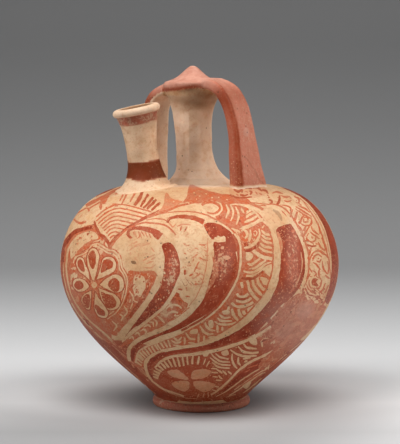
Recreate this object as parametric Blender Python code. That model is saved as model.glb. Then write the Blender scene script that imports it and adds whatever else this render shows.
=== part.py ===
"""Stirrup jar of fired clay: one hollow vessel with a spout, a closed false neck and two strap handles.

Metres, +Z up. The origin is under the middle of the body, on the ground. The spout is at the front,
towards -Y, and the two handles stand to the right (+X) and to the left (-X) of the false neck.
"""

import math

import bmesh
import bpy
from mathutils import Matrix, Vector

# Body
TOTAL_HEIGHT = 0.260
BODY_RADIUS = 0.1064
BELLY_HEIGHT = 0.1094
SHOULDER_HEIGHT = 0.1706
BODY_WALL = 0.0055
FLOOR_THICKNESS = 0.0075

# The two halves of the outline are rounded quarters; these powers set how full they are
BELLY_FULLNESS = (2.05, 0.83)
SHOULDER_FULLNESS = (1.76, 4.3)

# Foot: a low disc with a shallow hollow beneath, set a little off the body's axis
FOOT_RADIUS = 0.0375
FOOT_HEIGHT = 0.0052
FOOT_EDGE = 0.0012
FOOT_SHIFT = Vector((0.0012, 0.0009, 0.0))
FOOT_RING_WIDTH = 0.0115
FOOT_RECESS_DEPTH = 0.0015
GROOVE_DEPTH = 0.0023
GROOVE_WIDTH = 0.0012

# False neck: closed by the disc above, open to the body below, and leaning a little
NECK_WAIST = 0.0136
NECK_WALL = 0.0046
NECK_BASE_FLARE = 0.0125
NECK_LEAN = Vector((-0.0040, -0.0030, 0.0))
# How sharply it spreads at its base and under the disc
NECK_SPREAD = (9.0, 5.0)
# Shares of its height where the hollow inside ends its straight run, narrows, and closes
NECK_HOLLOW_SHARES = (0.90, 0.96, 0.99)
NECK_DOME_NARROWING = 0.6

# Disc and knob
DISC_RADIUS = 0.0228
DISC_THICKNESS = 0.0100
DISC_UNDERCUT = 0.0026
DISC_EDGE = 0.0018
DISC_CROWN = 0.0028
KNOB_HEIGHT = 0.0100
KNOB_SPREAD = 0.0093
KNOB_POINTEDNESS = 1.9
# Where the disc's side bends: share of the undercut, and share of the thickness
DISC_BEND = (0.30, 0.55)

# Spout. Its bearings are measured from the front, towards the left
SPOUT_DISTANCE = 0.0472
SPOUT_BEARING = math.radians(18.3)
SPOUT_HEIGHT = 0.0590
SPOUT_WAIST = 0.0113
SPOUT_WALL = 0.0039
SPOUT_BASE_FLARE = 0.0076
SPOUT_LIP_FLARE = 0.0064
SPOUT_LEAN = math.radians(9.0)
SPOUT_LEAN_BEARING = math.radians(24)
MOUTH_TILT = math.radians(12.2)
MOUTH_TILT_BEARING = math.radians(31)
MOUTH_RADIUS = 0.0102
LIP_HEIGHT = 0.0058
# How sharply it spreads at its base and under the lip
SPOUT_SPREAD = (6.5, 4.2)
# Share of its height where the bore begins to widen towards the mouth
BORE_WIDENING = 0.72

# Strap handles
HANDLE_WIDTH = 0.0258
HANDLE_THICKNESS = 0.0082
HANDLE_FOOT_WIDENING = 0.0120
HANDLE_FOOT_THICKENING = 0.0030
HANDLE_GROOVE = 0.0006
RIGHT_REACH = 0.0522
LEFT_REACH = 0.0435

# Each strap's middle line: share of its reach, and share of its rise from the shoulder to the disc
RIGHT_LINE = (
    (0.00, 0.975),
    (0.28, 0.985),
    (0.42, 0.972),
    (0.57, 0.925),
    (0.66, 0.865),
    (0.745, 0.772),
    (0.812, 0.658),
    (0.867, 0.518),
    (0.945, 0.176),
    (1.00, -0.070),
)
LEFT_LINE = (
    (0.00, 0.965),
    (0.32, 0.948),
    (0.48, 0.922),
    (0.66, 0.878),
    (0.755, 0.818),
    (0.81, 0.740),
    (0.845, 0.600),
    (0.87, 0.410),
    (0.93, 0.170),
    (1.00, -0.070),
)

# How far one joined shape runs on inside the other
EMBED = 0.0030

# Facets
BODY_SEGMENTS = 56
CAVITY_SEGMENTS = 40
TUBE_SEGMENTS = 28
BORE_SEGMENTS = 20
BELLY_STEPS = 12
SHOULDER_STEPS = 12
CAVITY_STEPS = 9
TUBE_STEPS = 12
BORE_STEPS = 6
DISC_STEPS = 9
HANDLE_STEPS_PER_POINT = 2

CLAY = (0.42, 0.17, 0.09)

# Sizes that follow from those above
GROOVE_RADIUS = FOOT_RADIUS - GROOVE_DEPTH
GROOVE_HEIGHT = FOOT_HEIGHT + GROOVE_WIDTH
DISC_RIM_HEIGHT = TOTAL_HEIGHT - KNOB_HEIGHT - DISC_CROWN
DISC_UNDERSIDE = DISC_RIM_HEIGHT - DISC_THICKNESS
NECK_BORE = NECK_WAIST - NECK_WALL
NECK_TOP_FLARE = DISC_RADIUS - DISC_UNDERCUT - NECK_WAIST
SPOUT_BORE = SPOUT_WAIST - SPOUT_WALL


def belly_radius(height):
    """Radius of the lower half of the body, from the groove over its foot to the belly."""
    power, taper = BELLY_FULLNESS
    share = (height - GROOVE_HEIGHT) / (BELLY_HEIGHT - GROOVE_HEIGHT)
    swell = (1 - (1 - share) ** power) ** (1 / taper)
    return GROOVE_RADIUS + (BODY_RADIUS - GROOVE_RADIUS) * swell


def shoulder_radius(height):
    """Radius of the upper half of the body, from the belly to the middle of its top."""
    power, roundness = SHOULDER_FULLNESS
    share = (height - BELLY_HEIGHT) / (SHOULDER_HEIGHT - BELLY_HEIGHT)
    return BODY_RADIUS * max(0.0, 1 - share ** power) ** (1 / roundness)


def shoulder_height(radius):
    """Height of the shoulder's surface at a distance from the axis."""
    power, roundness = SHOULDER_FULLNESS
    share = (1 - (radius / BODY_RADIUS) ** roundness) ** (1 / power)
    return BELLY_HEIGHT + (SHOULDER_HEIGHT - BELLY_HEIGHT) * share


def body_middle(height):
    """A point of the body's axis, which runs a little off the upright towards the foot."""
    share = max(0.0, 1 - height / BELLY_HEIGHT)
    return FOOT_SHIFT * share ** 2 + Vector((0.0, 0.0, height))


def belly_points(steps, spacing):
    """Radius and height of points up the lower half of the body, closer together towards the belly."""
    points = []
    for step in range(steps):
        share = 1 - (1 - step / steps) ** spacing
        height = GROOVE_HEIGHT + (BELLY_HEIGHT - GROOVE_HEIGHT) * share
        points.append((belly_radius(height), height))
    return points


def shoulder_points(steps):
    """Radius and height of points from the belly up to the middle of the shoulder."""
    points = []
    for step in range(steps):
        share = math.sin(0.5 * math.pi * step / steps)
        height = BELLY_HEIGHT + (SHOULDER_HEIGHT - BELLY_HEIGHT) * share
        points.append((shoulder_radius(height), height))
    points.append((0.0, SHOULDER_HEIGHT))
    return points


def body_outline():
    """Radius and height from the middle of the underside, round the outside, to the top of the shoulder."""
    foot_edge = FOOT_RADIUS - FOOT_EDGE
    recess = FOOT_RADIUS - FOOT_RING_WIDTH
    foot = [
        (0.0, FOOT_RECESS_DEPTH),
        (recess - FOOT_EDGE, FOOT_RECESS_DEPTH),
        (recess, 0.0),
        (foot_edge, 0.0),
        (FOOT_RADIUS, FOOT_EDGE),
        (FOOT_RADIUS, FOOT_HEIGHT - FOOT_EDGE),
        (foot_edge, FOOT_HEIGHT),
    ]
    return foot + belly_points(BELLY_STEPS, 1.5) + shoulder_points(SHOULDER_STEPS)


def set_in(points, distance):
    """Points of an outline moved square to it, towards its inside."""
    moved = []
    for before, (radius, height), after in zip(points, points[1:], points[2:]):
        along = Vector((after[0] - before[0], after[1] - before[1])).normalized()
        moved.append((radius - distance * along.y, height + distance * along.x))
    return moved


def cavity_outline():
    """The inside of the body: its outside set in by the wall, over a flat floor."""
    floor = FOOT_RECESS_DEPTH + FLOOR_THICKNESS
    outside = belly_points(CAVITY_STEPS, 1.0) + shoulder_points(CAVITY_STEPS)
    inside = [point for point in set_in(outside, BODY_WALL) if point[1] > floor + EMBED]
    run_in = outside[0][0] - 1.4 * BODY_WALL
    return [(0.0, floor), (run_in, floor)] + inside + [(0.0, SHOULDER_HEIGHT - BODY_WALL)]


def round_points(radius, segments):
    """Points of a level circle about the origin."""
    angles = [2 * math.pi * index / segments for index in range(segments)]
    return [Vector((radius * math.cos(angle), radius * math.sin(angle), 0.0)) for angle in angles]


def level_ring(middle, radius, segments):
    """A ring of points in a level plane."""
    return [middle + point for point in round_points(radius, segments)]


def turned_rings(outline, segments, middle_at=body_middle):
    """A ring about the axis for each point of an outline; a point on the axis stays a single point."""
    rings = []
    for radius, height in outline:
        middle = middle_at(height)
        rings.append(level_ring(middle, radius, segments) if radius > 0.0 else [middle])
    return rings


def skin(name, rings):
    """A closed object from rings of points, bottom to top, whose first and last are single points."""
    shape = bmesh.new()
    loops = [[shape.verts.new(point) for point in ring] for ring in rings]
    for lower, upper in zip(loops, loops[1:]):
        count = max(len(lower), len(upper))
        for index in range(count):
            following = (index + 1) % count
            if len(lower) == 1:
                shape.faces.new((lower[0], upper[following], upper[index]))
            elif len(upper) == 1:
                shape.faces.new((lower[index], lower[following], upper[0]))
            else:
                shape.faces.new((lower[index], lower[following], upper[following], upper[index]))
    bmesh.ops.recalc_face_normals(shape, faces=shape.faces)
    mesh = bpy.data.meshes.new(name)
    shape.to_mesh(mesh)
    shape.free()
    mesh.shade_smooth()
    made = bpy.data.objects.new(name, mesh)
    bpy.context.collection.objects.link(made)
    return made


def flared(share, waist, base_flare, top_flare, spread):
    """Radius of a waisted tube that spreads at both ends; share runs from 0 at its base to 1 at its top."""
    base_power, top_power = spread
    base = base_flare * max(0.0, 1 - share) ** base_power
    top = top_flare * max(0.0, share) ** top_power
    return waist + base + top


def neck_middle(share):
    """Middle of the false neck at a share of its height, from the shoulder to the disc."""
    lean = NECK_LEAN * (1 - (1 - min(1.0, max(0.0, share))) ** 3)
    height = SHOULDER_HEIGHT + (DISC_UNDERSIDE - SHOULDER_HEIGHT) * share
    return lean + Vector((0.0, 0.0, height))


def neck_radius(share):
    """Radius of the false neck at a share of its height."""
    return flared(share, NECK_WAIST, NECK_BASE_FLARE, NECK_TOP_FLARE, NECK_SPREAD)


def false_neck():
    """The waisted column between the shoulder and the disc."""
    foot = neck_middle(0.0) - Vector((0.0, 0.0, EMBED))
    rings = [[foot], level_ring(foot, neck_radius(0.0), TUBE_SEGMENTS)]
    for step in range(TUBE_STEPS + 1):
        share = 0.5 - 0.5 * math.cos(math.pi * step / TUBE_STEPS)
        rings.append(level_ring(neck_middle(share), neck_radius(share), TUBE_SEGMENTS))
    crown = neck_middle(1.0) + Vector((0.0, 0.0, EMBED))
    rings.append(level_ring(crown, NECK_WAIST, TUBE_SEGMENTS))
    rings.append([crown])
    return skin("false_neck", rings)


def neck_hollow():
    """The hollow in the false neck, open to the body below and domed under the disc."""
    below = neck_middle(0.0) - Vector((0.0, 0.0, BODY_WALL + EMBED))
    rings = [[below], level_ring(below, NECK_BORE, BORE_SEGMENTS)]
    straight, narrowing, closed = NECK_HOLLOW_SHARES
    for step in range(BORE_STEPS + 1):
        rings.append(level_ring(neck_middle(straight * step / BORE_STEPS), NECK_BORE, BORE_SEGMENTS))
    dome_radius = NECK_DOME_NARROWING * NECK_BORE
    rings.append(level_ring(neck_middle(narrowing), dome_radius, BORE_SEGMENTS))
    rings.append([neck_middle(closed)])
    return skin("neck_hollow", rings)


def disc_and_knob():
    """The disc that closes the false neck, undercut below its rim and rising to a pointed knob."""
    in_share, up_share = DISC_BEND
    outline = [
        (0.0, DISC_UNDERSIDE),
        (DISC_RADIUS - DISC_UNDERCUT, DISC_UNDERSIDE),
        (DISC_RADIUS - in_share * DISC_UNDERCUT, DISC_UNDERSIDE + up_share * DISC_THICKNESS),
        (DISC_RADIUS, DISC_RIM_HEIGHT - DISC_EDGE),
    ]
    for step in range(DISC_STEPS):
        radius = (DISC_RADIUS - DISC_EDGE) * (1 - step / DISC_STEPS) ** 1.25
        crown = DISC_CROWN * (1 - (radius / DISC_RADIUS) ** 2)
        knob = KNOB_HEIGHT * math.exp(-((radius / KNOB_SPREAD) ** KNOB_POINTEDNESS))
        outline.append((radius, DISC_RIM_HEIGHT + crown + knob))
    outline.append((0.0, TOTAL_HEIGHT))
    rings = turned_rings(outline, TUBE_SEGMENTS, lambda height: NECK_LEAN + Vector((0.0, 0.0, height)))
    return skin("disc_and_knob", rings)


def towards(bearing):
    """A level direction, by its bearing from the front towards the left."""
    return Vector((-math.sin(bearing), -math.cos(bearing), 0.0))


def spout_middle(share):
    """Middle of the spout at a share of its height, from the shoulder to the mouth."""
    rise = SPOUT_HEIGHT * share
    lean = towards(SPOUT_LEAN_BEARING) * math.tan(SPOUT_LEAN)
    foot = towards(SPOUT_BEARING) * SPOUT_DISTANCE
    foot.z = shoulder_height(SPOUT_DISTANCE)
    return foot + (lean + Vector((0.0, 0.0, 1.0))) * rise


def spout_ring(share, radius, segments, rise=0.0):
    """A ring round the spout's axis: level on the shoulder, and tilted outwards at the mouth."""
    amount = min(1.0, max(0.0, share))
    hinge = Vector((0.0, 0.0, 1.0)).cross(towards(MOUTH_TILT_BEARING))
    tilt = Matrix.Rotation(MOUTH_TILT * amount, 3, hinge)
    middle = spout_middle(share) + tilt @ Vector((0.0, 0.0, rise))
    return [middle + tilt @ point for point in round_points(radius, segments)]


def spout_radius(share):
    """Outer radius of the spout at a share of its height, without its lip."""
    return flared(share, SPOUT_WAIST, SPOUT_BASE_FLARE, SPOUT_LIP_FLARE, SPOUT_SPREAD)


def spout():
    """The waisted spout, with a rolled lip."""
    under = -(BODY_WALL + EMBED) / SPOUT_HEIGHT
    rings = [[spout_middle(under)], spout_ring(under, SPOUT_WAIST, TUBE_SEGMENTS)]
    start = -0.04
    end = 1 - LIP_HEIGHT / SPOUT_HEIGHT
    for step in range(TUBE_STEPS + 1):
        share = start + (end - start) * step / TUBE_STEPS
        rings.append(spout_ring(share, spout_radius(share), TUBE_SEGMENTS))
    roll = 0.5 * LIP_HEIGHT
    for degrees in (-15, 15, 45, 75):
        angle = math.radians(degrees)
        radius = spout_radius(1.0) + roll * (math.cos(angle) - 1)
        rings.append(spout_ring(1.0, radius, TUBE_SEGMENTS, roll * (math.sin(angle) - 1)))
    rings.append(spout_ring(1.0, MOUTH_RADIUS, TUBE_SEGMENTS))
    rings.append([spout_middle(1.0)])
    return skin("spout", rings)


def spout_bore():
    """The way through the spout into the body, widening at the mouth."""
    under = -(BODY_WALL + 2 * EMBED) / SPOUT_HEIGHT
    rings = [[spout_middle(under)], spout_ring(under, SPOUT_BORE, BORE_SEGMENTS)]
    for step in range(1, BORE_STEPS + 1):
        rings.append(spout_ring(BORE_WIDENING * step / BORE_STEPS, SPOUT_BORE, BORE_SEGMENTS))
    for step in range(1, 4):
        share = BORE_WIDENING + (1 - BORE_WIDENING) * step / 3
        radius = SPOUT_BORE + (MOUTH_RADIUS - SPOUT_BORE) * step / 3
        rings.append(spout_ring(share, radius, BORE_SEGMENTS))
    rings.append(spout_ring(1.0, 1.15 * MOUTH_RADIUS, BORE_SEGMENTS, EMBED))
    rings.append([spout_middle(1.0) + Vector((0.0, 0.0, EMBED))])
    return skin("spout_bore", rings)


def smooth_line(points, steps):
    """A smooth curve through the points, with a number of steps from each to the next."""
    ends = [2 * points[0] - points[1]] + points + [2 * points[-1] - points[-2]]
    line = []
    for before, start, end, after in zip(ends, ends[1:], ends[2:], ends[3:]):
        for step in range(steps):
            t = step / steps
            bend = 2 * before - 5 * start + 4 * end - after
            turn = 3 * start - before - 3 * end + after
            line.append(0.5 * (2 * start + (end - before) * t + bend * t ** 2 + turn * t ** 3))
    line.append(points[-1])
    return line


def strap_section(width, thickness):
    """Half round edges, a flat inner face, and a shallow groove inside each edge of the outer face.

    Each corner is placed by shares of half the thickness, so the edges keep their shape at any width.
    """
    half = 0.5 * width
    deep = 0.5 * thickness
    return [
        (-half + 0.55 * deep, -deep),
        (half - 0.55 * deep, -deep),
        (half - 0.10 * deep, -0.55 * deep),
        (half, 0.0),
        (half - 0.12 * deep, 0.62 * deep),
        (half - 0.60 * deep, deep),
        (half - 1.45 * deep, deep - HANDLE_GROOVE),
        (0.0, deep + 0.5 * HANDLE_GROOVE),
        (-half + 1.45 * deep, deep - HANDLE_GROOVE),
        (-half + 0.60 * deep, deep),
        (-half + 0.12 * deep, 0.62 * deep),
        (-half, 0.0),
        (-half + 0.10 * deep, -0.55 * deep),
    ]


def handle(name, line_shares, reach, side):
    """A strap from the disc, over a bend and down to the shoulder; side is 1 to the right, -1 to the left."""
    outwards = Vector((side, 0.0, 0.0))
    across = Vector((0.0, side, 0.0))
    foot = NECK_LEAN + outwards * reach
    base = shoulder_height(foot.length)
    rise = DISC_RIM_HEIGHT - base
    points = []
    for reach_share, rise_share in line_shares:
        level = Vector((0.0, 0.0, base + rise * rise_share))
        points.append(NECK_LEAN + outwards * reach * reach_share + level)
    line = smooth_line(points, HANDLE_STEPS_PER_POINT)
    rings = []
    for index, middle in enumerate(line):
        ahead = line[min(index + 1, len(line) - 1)]
        behind = line[max(index - 1, 0)]
        outer = across.cross((ahead - behind).normalized()) * -1
        drop = min(1.0, max(0.0, (DISC_RIM_HEIGHT - middle.z) / rise))
        width = HANDLE_WIDTH + HANDLE_FOOT_WIDENING * drop ** 3
        thickness = HANDLE_THICKNESS + HANDLE_FOOT_THICKENING * drop ** 3
        section = strap_section(width, thickness)
        rings.append([middle + across * aside + outer * out for aside, out in section])
    return skin(name, [[line[0]]] + rings + [[line[-1]]])


def as_tool(piece):
    """A shape that is joined to or cut from the jar, and isn't part of it by itself."""
    piece.hide_render = True
    piece.display_type = "WIRE"
    return piece


def combine(jar, piece, operation):
    """Join a shape to the jar, or cut it out of the jar."""
    step = jar.modifiers.new(piece.name, "BOOLEAN")
    step.operation = operation
    step.solver = "EXACT"
    step.object = as_tool(piece)


def fired_clay():
    """Plain fired clay in the colour of the jar's paint and slip, seen together."""
    material = bpy.data.materials.new("fired_clay")
    material.use_nodes = True
    shader = material.node_tree.nodes["Principled BSDF"]
    shader.inputs["Base Color"].default_value = (*CLAY, 1.0)
    shader.inputs["Roughness"].default_value = 0.6
    shader.inputs["Metallic"].default_value = 0.0
    return material


def stirrup_jar():
    """The whole jar, one piece of fired clay."""
    jar = skin("stirrup_jar", turned_rings(body_outline(), BODY_SEGMENTS))
    jar.data.materials.append(fired_clay())
    joined = (
        false_neck(),
        disc_and_knob(),
        spout(),
        handle("right_handle", RIGHT_LINE, RIGHT_REACH, 1),
        handle("left_handle", LEFT_LINE, LEFT_REACH, -1),
    )
    for piece in joined:
        combine(jar, piece, "UNION")
    cavity = skin("cavity", turned_rings(cavity_outline(), CAVITY_SEGMENTS))
    for hollow in (cavity, neck_hollow(), spout_bore()):
        combine(jar, hollow, "DIFFERENCE")
    return jar


for startup_object in list(bpy.data.objects):
    bpy.data.objects.remove(startup_object, do_unlink=True)

stirrup_jar()
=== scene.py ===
import math
from random import Random

import bmesh
import bpy
import numpy as np
from mathutils import Matrix, Vector, noise
from mathutils.bvhtree import BVHTree
from mathutils.geometry import delaunay_2d_cdt
from mathutils.kdtree import KDTree


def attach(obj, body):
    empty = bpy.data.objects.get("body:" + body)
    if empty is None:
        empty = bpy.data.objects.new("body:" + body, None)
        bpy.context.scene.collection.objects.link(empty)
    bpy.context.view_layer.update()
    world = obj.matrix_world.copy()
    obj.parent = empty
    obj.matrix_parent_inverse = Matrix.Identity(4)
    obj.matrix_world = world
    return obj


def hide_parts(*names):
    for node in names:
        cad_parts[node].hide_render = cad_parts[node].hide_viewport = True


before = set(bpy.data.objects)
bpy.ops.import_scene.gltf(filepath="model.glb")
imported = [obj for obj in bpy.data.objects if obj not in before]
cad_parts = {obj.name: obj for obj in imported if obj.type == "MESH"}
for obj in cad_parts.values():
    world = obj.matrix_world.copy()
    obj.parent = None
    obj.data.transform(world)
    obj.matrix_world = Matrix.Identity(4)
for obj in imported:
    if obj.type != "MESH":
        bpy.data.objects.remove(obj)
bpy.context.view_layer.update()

# Sizes of the jar in metres, as the solid has them
BODY_RADIUS = 0.1064
BELLY_HEIGHT = 0.1094
SHOULDER_HEIGHT = 0.1706
BODY_WALL = 0.0055
FLOOR_HEIGHT = 0.0090
BELLY_FULLNESS = (2.05, 0.83)
SHOULDER_FULLNESS = (1.76, 4.3)
FOOT_RADIUS = 0.0375
FOOT_EDGE = 0.0012
FOOT_SHIFT = Vector((0.0012, 0.0009, 0.0))
FOOT_RING_WIDTH = 0.0115
FOOT_RECESS_DEPTH = 0.0015
GROOVE_RADIUS = 0.0352
GROOVE_HEIGHT = 0.0064
NECK_WAIST = 0.0136
NECK_BASE_FLARE = 0.0125
NECK_TOP_FLARE = 0.0066
NECK_SPREAD = (9.0, 5.0)
NECK_BORE = 0.0090
NECK_LEAN = Vector((-0.0040, -0.0030, 0.0))
DISC_RADIUS = 0.0228
DISC_RIM_HEIGHT = 0.2472
DISC_UNDERSIDE = 0.2372
DISC_UNDERCUT = 0.0026
DISC_EDGE = 0.0018
DISC_CROWN = 0.0028
KNOB_HEIGHT = 0.0100
KNOB_SPREAD = 0.0093
KNOB_POINTEDNESS = 1.9
SPOUT_DISTANCE = 0.0472
SPOUT_BEARING = math.radians(18.3)
SPOUT_HEIGHT = 0.0590
SPOUT_WAIST = 0.0113
SPOUT_BORE = 0.0074
SPOUT_BASE_FLARE = 0.0076
SPOUT_LIP_FLARE = 0.0064
SPOUT_SPREAD = (6.5, 4.2)
SPOUT_LEAN = math.radians(9.0)
SPOUT_LEAN_BEARING = math.radians(24)
MOUTH_TILT = math.radians(12.2)
MOUTH_TILT_BEARING = math.radians(31)
MOUTH_RADIUS = 0.0102
LIP_HEIGHT = 0.0058
HANDLE_WIDTH = 0.0258
HANDLE_THICKNESS = 0.0082
HANDLE_FOOT_WIDENING = 0.0120
HANDLE_FOOT_THICKENING = 0.0030
RIGHT_REACH = 0.0522
LEFT_REACH = 0.0435
RIGHT_LINE = (
    (0.00, 0.975), (0.28, 0.985), (0.42, 0.972), (0.57, 0.925), (0.66, 0.865),
    (0.745, 0.772), (0.812, 0.658), (0.867, 0.518), (0.945, 0.176), (1.00, -0.070),
)
LEFT_LINE = (
    (0.00, 0.965), (0.32, 0.948), (0.48, 0.922), (0.66, 0.878), (0.755, 0.818),
    (0.81, 0.740), (0.845, 0.600), (0.87, 0.410), (0.93, 0.170), (1.00, -0.070),
)
UP = Vector((0.0, 0.0, 1.0))

# How fine the mesh is: points round each form, and the spacing in the body's plain areas and the upper part
JOIN_SEGMENTS = 180
BLOCK_SEGMENTS = 128
ROUND_SEGMENTS = 96
INSIDE_SEGMENTS = 72
PLAIN_SPACING = 0.0037
MELT_SIZE = 0.00108

# Where the photograph was taken from
PICTURE_WIDTH, PICTURE_HEIGHT = 400, 444
CAMERA_SIDE = 0.00038
CAMERA_DISTANCE = 1.1
CAMERA_HEIGHT = 0.23079
CAMERA_PITCH = math.radians(4.70)
CAMERA_DEGREES = 37
CAMERA_TURN = math.radians(CAMERA_DEGREES)
FOCAL_PIXELS = 1441.32
SENSOR_HEIGHT = 24.0


def clamp(value):
    """The value, held between 0 and 1."""
    return min(1.0, max(0.0, value))


def bell(value, middle, width):
    """1 at the middle, falling smoothly to either side."""
    return math.exp(-((value - middle) / width) ** 2)


def camera_frame(turn):
    """Place and axes of the camera when the jar is seen from a bearing."""
    spin = Matrix.Rotation(turn, 3, "Z")
    place = spin @ Vector((CAMERA_SIDE, -CAMERA_DISTANCE, CAMERA_HEIGHT))
    return place, spin


def pixel_ray(column, row, turn):
    """The line of sight through a point of the picture."""
    place, spin = camera_frame(turn)
    aside = (column - PICTURE_WIDTH / 2) / FOCAL_PIXELS
    up = (PICTURE_HEIGHT / 2 - row) / FOCAL_PIXELS
    sine, cosine = math.sin(CAMERA_PITCH), math.cos(CAMERA_PITCH)
    level = Vector((aside, cosine + up * sine, up * cosine - sine))
    return place, (spin @ level).normalized()


def sight(places):
    """Where points of the jar show in the picture, as arrays of columns and rows."""
    camera_place, spin = camera_frame(CAMERA_TURN)
    across = (np.asarray(places) - np.array(camera_place)) @ np.array(spin)
    sine, cosine = math.sin(CAMERA_PITCH), math.cos(CAMERA_PITCH)
    depth = across[:, 1] * cosine - across[:, 2] * sine
    up = across[:, 1] * sine + across[:, 2] * cosine
    columns = PICTURE_WIDTH / 2 + FOCAL_PIXELS * across[:, 0] / depth
    return columns, PICTURE_HEIGHT / 2 - FOCAL_PIXELS * up / depth


def belly_radius(height):
    """The body's radius at a height between the groove over the foot and the belly."""
    power, taper = BELLY_FULLNESS
    share = max(0.0, (height - GROOVE_HEIGHT) / (BELLY_HEIGHT - GROOVE_HEIGHT))
    return GROOVE_RADIUS + (BODY_RADIUS - GROOVE_RADIUS) * (1 - (1 - share) ** power) ** (1 / taper)


def shoulder_height(radius):
    """The height of the body's upper side at a distance from its axis."""
    power, roundness = SHOULDER_FULLNESS
    share = max(0.0, 1 - (radius / BODY_RADIUS) ** roundness) ** (1 / power)
    return BELLY_HEIGHT + (SHOULDER_HEIGHT - BELLY_HEIGHT) * share


def body_outline(steps=400, crowding=1.4):
    """Radius and height from the middle of the shoulder, over the belly, down to the groove over the foot."""
    points = []
    for step in range(steps):
        radius = BODY_RADIUS * math.sin(0.5 * math.pi * step / steps)
        points.append((radius, shoulder_height(radius)))
    for step in range(steps + 1):
        height = GROOVE_HEIGHT + (BELLY_HEIGHT - GROOVE_HEIGHT) * (1 - step / steps) ** crowding
        points.append((belly_radius(height), height))
    return np.array(points)


# The body's surface is laid out flat as a disc about the middle of the shoulder, true in its angles
OUTLINE = body_outline()
OUTLINE_MIDDLE = 0.095
TURNING = -np.arctan2(OUTLINE[:, 1] - OUTLINE_MIDDLE, OUTLINE[:, 0])
STRETCHES = np.hypot(*np.diff(OUTLINE, axis=0).T)
ALONG = np.concatenate([[0.0], np.cumsum(STRETCHES)])
FIRST_SPREAD = math.log(OUTLINE[1, 0])
MIDDLE_SPREAD = FIRST_SPREAD - 2.0
SPREAD = np.concatenate([
    [MIDDLE_SPREAD, FIRST_SPREAD],
    FIRST_SPREAD + np.cumsum(STRETCHES[1:] / (0.5 * (OUTLINE[1:-1, 0] + OUTLINE[2:, 0]))),
])
FLAT_SCALE = 1000.0


def axis_shift(height):
    """How far the body's axis lies off the upright at a height."""
    share = np.clip(1 - np.asarray(height) / BELLY_HEIGHT, 0.0, None)
    return FOOT_SHIFT.x * share ** 2, FOOT_SHIFT.y * share ** 2


def flatten(point):
    """Place in the flat layout of a point on the body."""
    shift_x, shift_y = axis_shift(point[2])
    x, y = point[0] - shift_x, point[1] - shift_y
    turning = -math.atan2(point[2] - OUTLINE_MIDDLE, math.hypot(x, y))
    reach = FLAT_SCALE * math.exp(np.interp(turning, TURNING, SPREAD))
    angle = math.atan2(y, x)
    return reach * math.cos(angle), reach * math.sin(angle)


def unflatten(flat):
    """Points on the body and their outward directions, from the flat layout."""
    reach = np.hypot(flat[:, 0], flat[:, 1])
    angle = np.arctan2(flat[:, 1], flat[:, 0])
    spread = np.log(np.maximum(reach, 1e-6) / FLAT_SCALE)
    radius = np.interp(spread, SPREAD, OUTLINE[:, 0])
    height = np.interp(spread, SPREAD, OUTLINE[:, 1])
    radius[reach < 1e-5] = 0.0
    slope = np.gradient(OUTLINE, axis=0)
    down_r = np.interp(spread, SPREAD, slope[:, 0])
    down_z = np.interp(spread, SPREAD, slope[:, 1])
    size = np.hypot(down_r, down_z)
    out_r, out_z = -down_z / size, down_r / size
    shift_x, shift_y = axis_shift(height)
    places = np.stack([radius * np.cos(angle) + shift_x, radius * np.sin(angle) + shift_y, height], axis=1)
    normals = np.stack([out_r * np.cos(angle), out_r * np.sin(angle), out_z], axis=1)
    return places, normals


def turned(outline, segments):
    """Vertices and quads of a surface turned from an outline."""
    vertices, faces = [], []
    for radius, height in outline:
        shift_x, shift_y = axis_shift(height)
        for index in range(segments):
            angle = 2 * math.pi * index / segments
            x, y = radius * math.cos(angle) + shift_x, radius * math.sin(angle) + shift_y
            vertices.append(Vector((x, y, height)))
    for ring in range(len(outline) - 1):
        for index in range(segments):
            a, b = ring * segments + index, ring * segments + (index + 1) % segments
            faces.append((a, b, b + segments, a + segments))
    return vertices, faces


BODY_TREE = BVHTree.FromPolygons(*turned(OUTLINE[::4], 360))


def smooth_line(points, steps, closed=False):
    """A smooth curve through the points, in any number of dimensions."""
    points = [np.array(point, dtype=float) for point in points]
    if closed:
        ends = [points[-1]] + points + [points[0], points[1]]
    else:
        ends = [2 * points[0] - points[1]] + points + [2 * points[-1] - points[-2]]
    line = []
    for before, start, end, after in zip(ends, ends[1:], ends[2:], ends[3:]):
        for step in range(steps):
            t = step / steps
            bend = 2 * before - 5 * start + 4 * end - after
            turn = 3 * start - before - 3 * end + after
            line.append(0.5 * (2 * start + (end - before) * t + bend * t ** 2 + turn * t ** 3))
    if not closed:
        line.append(points[-1])
    return line


# The paint: what each brush mark leaves. Amounts of thin and of thick paint, from 0 to 1, and any dirt
SLIP = (0.0, 0.0)
LINE = (0.95, 0.12)
RED = (1.0, 0.62)
DARK = (1.0, 1.0)
WASH = (0.72, 0.0)
FAINT = (0.42, 0.0)

# A stroke of one width is thinner at its start and its end, by these shares
START_SHARE, END_SHARE = 0.5, 0.6

# How finely the hand shakes over the picture: a stroke in its width and to its sides, and the edge of a patch
WIDTH_SHAKE = 0.31
SIDE_SHAKE = 0.24
EDGE_SHAKE = 0.37
EDGE_SHAKE_SIZE = 0.8

# How the scattered strokes of a smudge differ: in direction, bend, length and width
SMUDGE_TURNING = 0.35
SMUDGE_BEND = 0.7
SMUDGE_LENGTHS = (0.3, 0.9)
SMUDGE_WIDTHS = (0.5, 1.5)

# A place beside the body is moved by these shares towards the body's middle in the picture, until it meets it
MIDDLE_COLUMN, MIDDLE_ROW = 199.5, 285
COLUMN_STEP, ROW_STEP = 0.006, 0.004
MOST_STEPS = 60

# Marks from bearings within this angle of the camera's, in radians, show in the picture
PICTURE_REACH = 1

flat_points = []
flat_faces = []
face_marks = []
marks = [SLIP]


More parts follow.
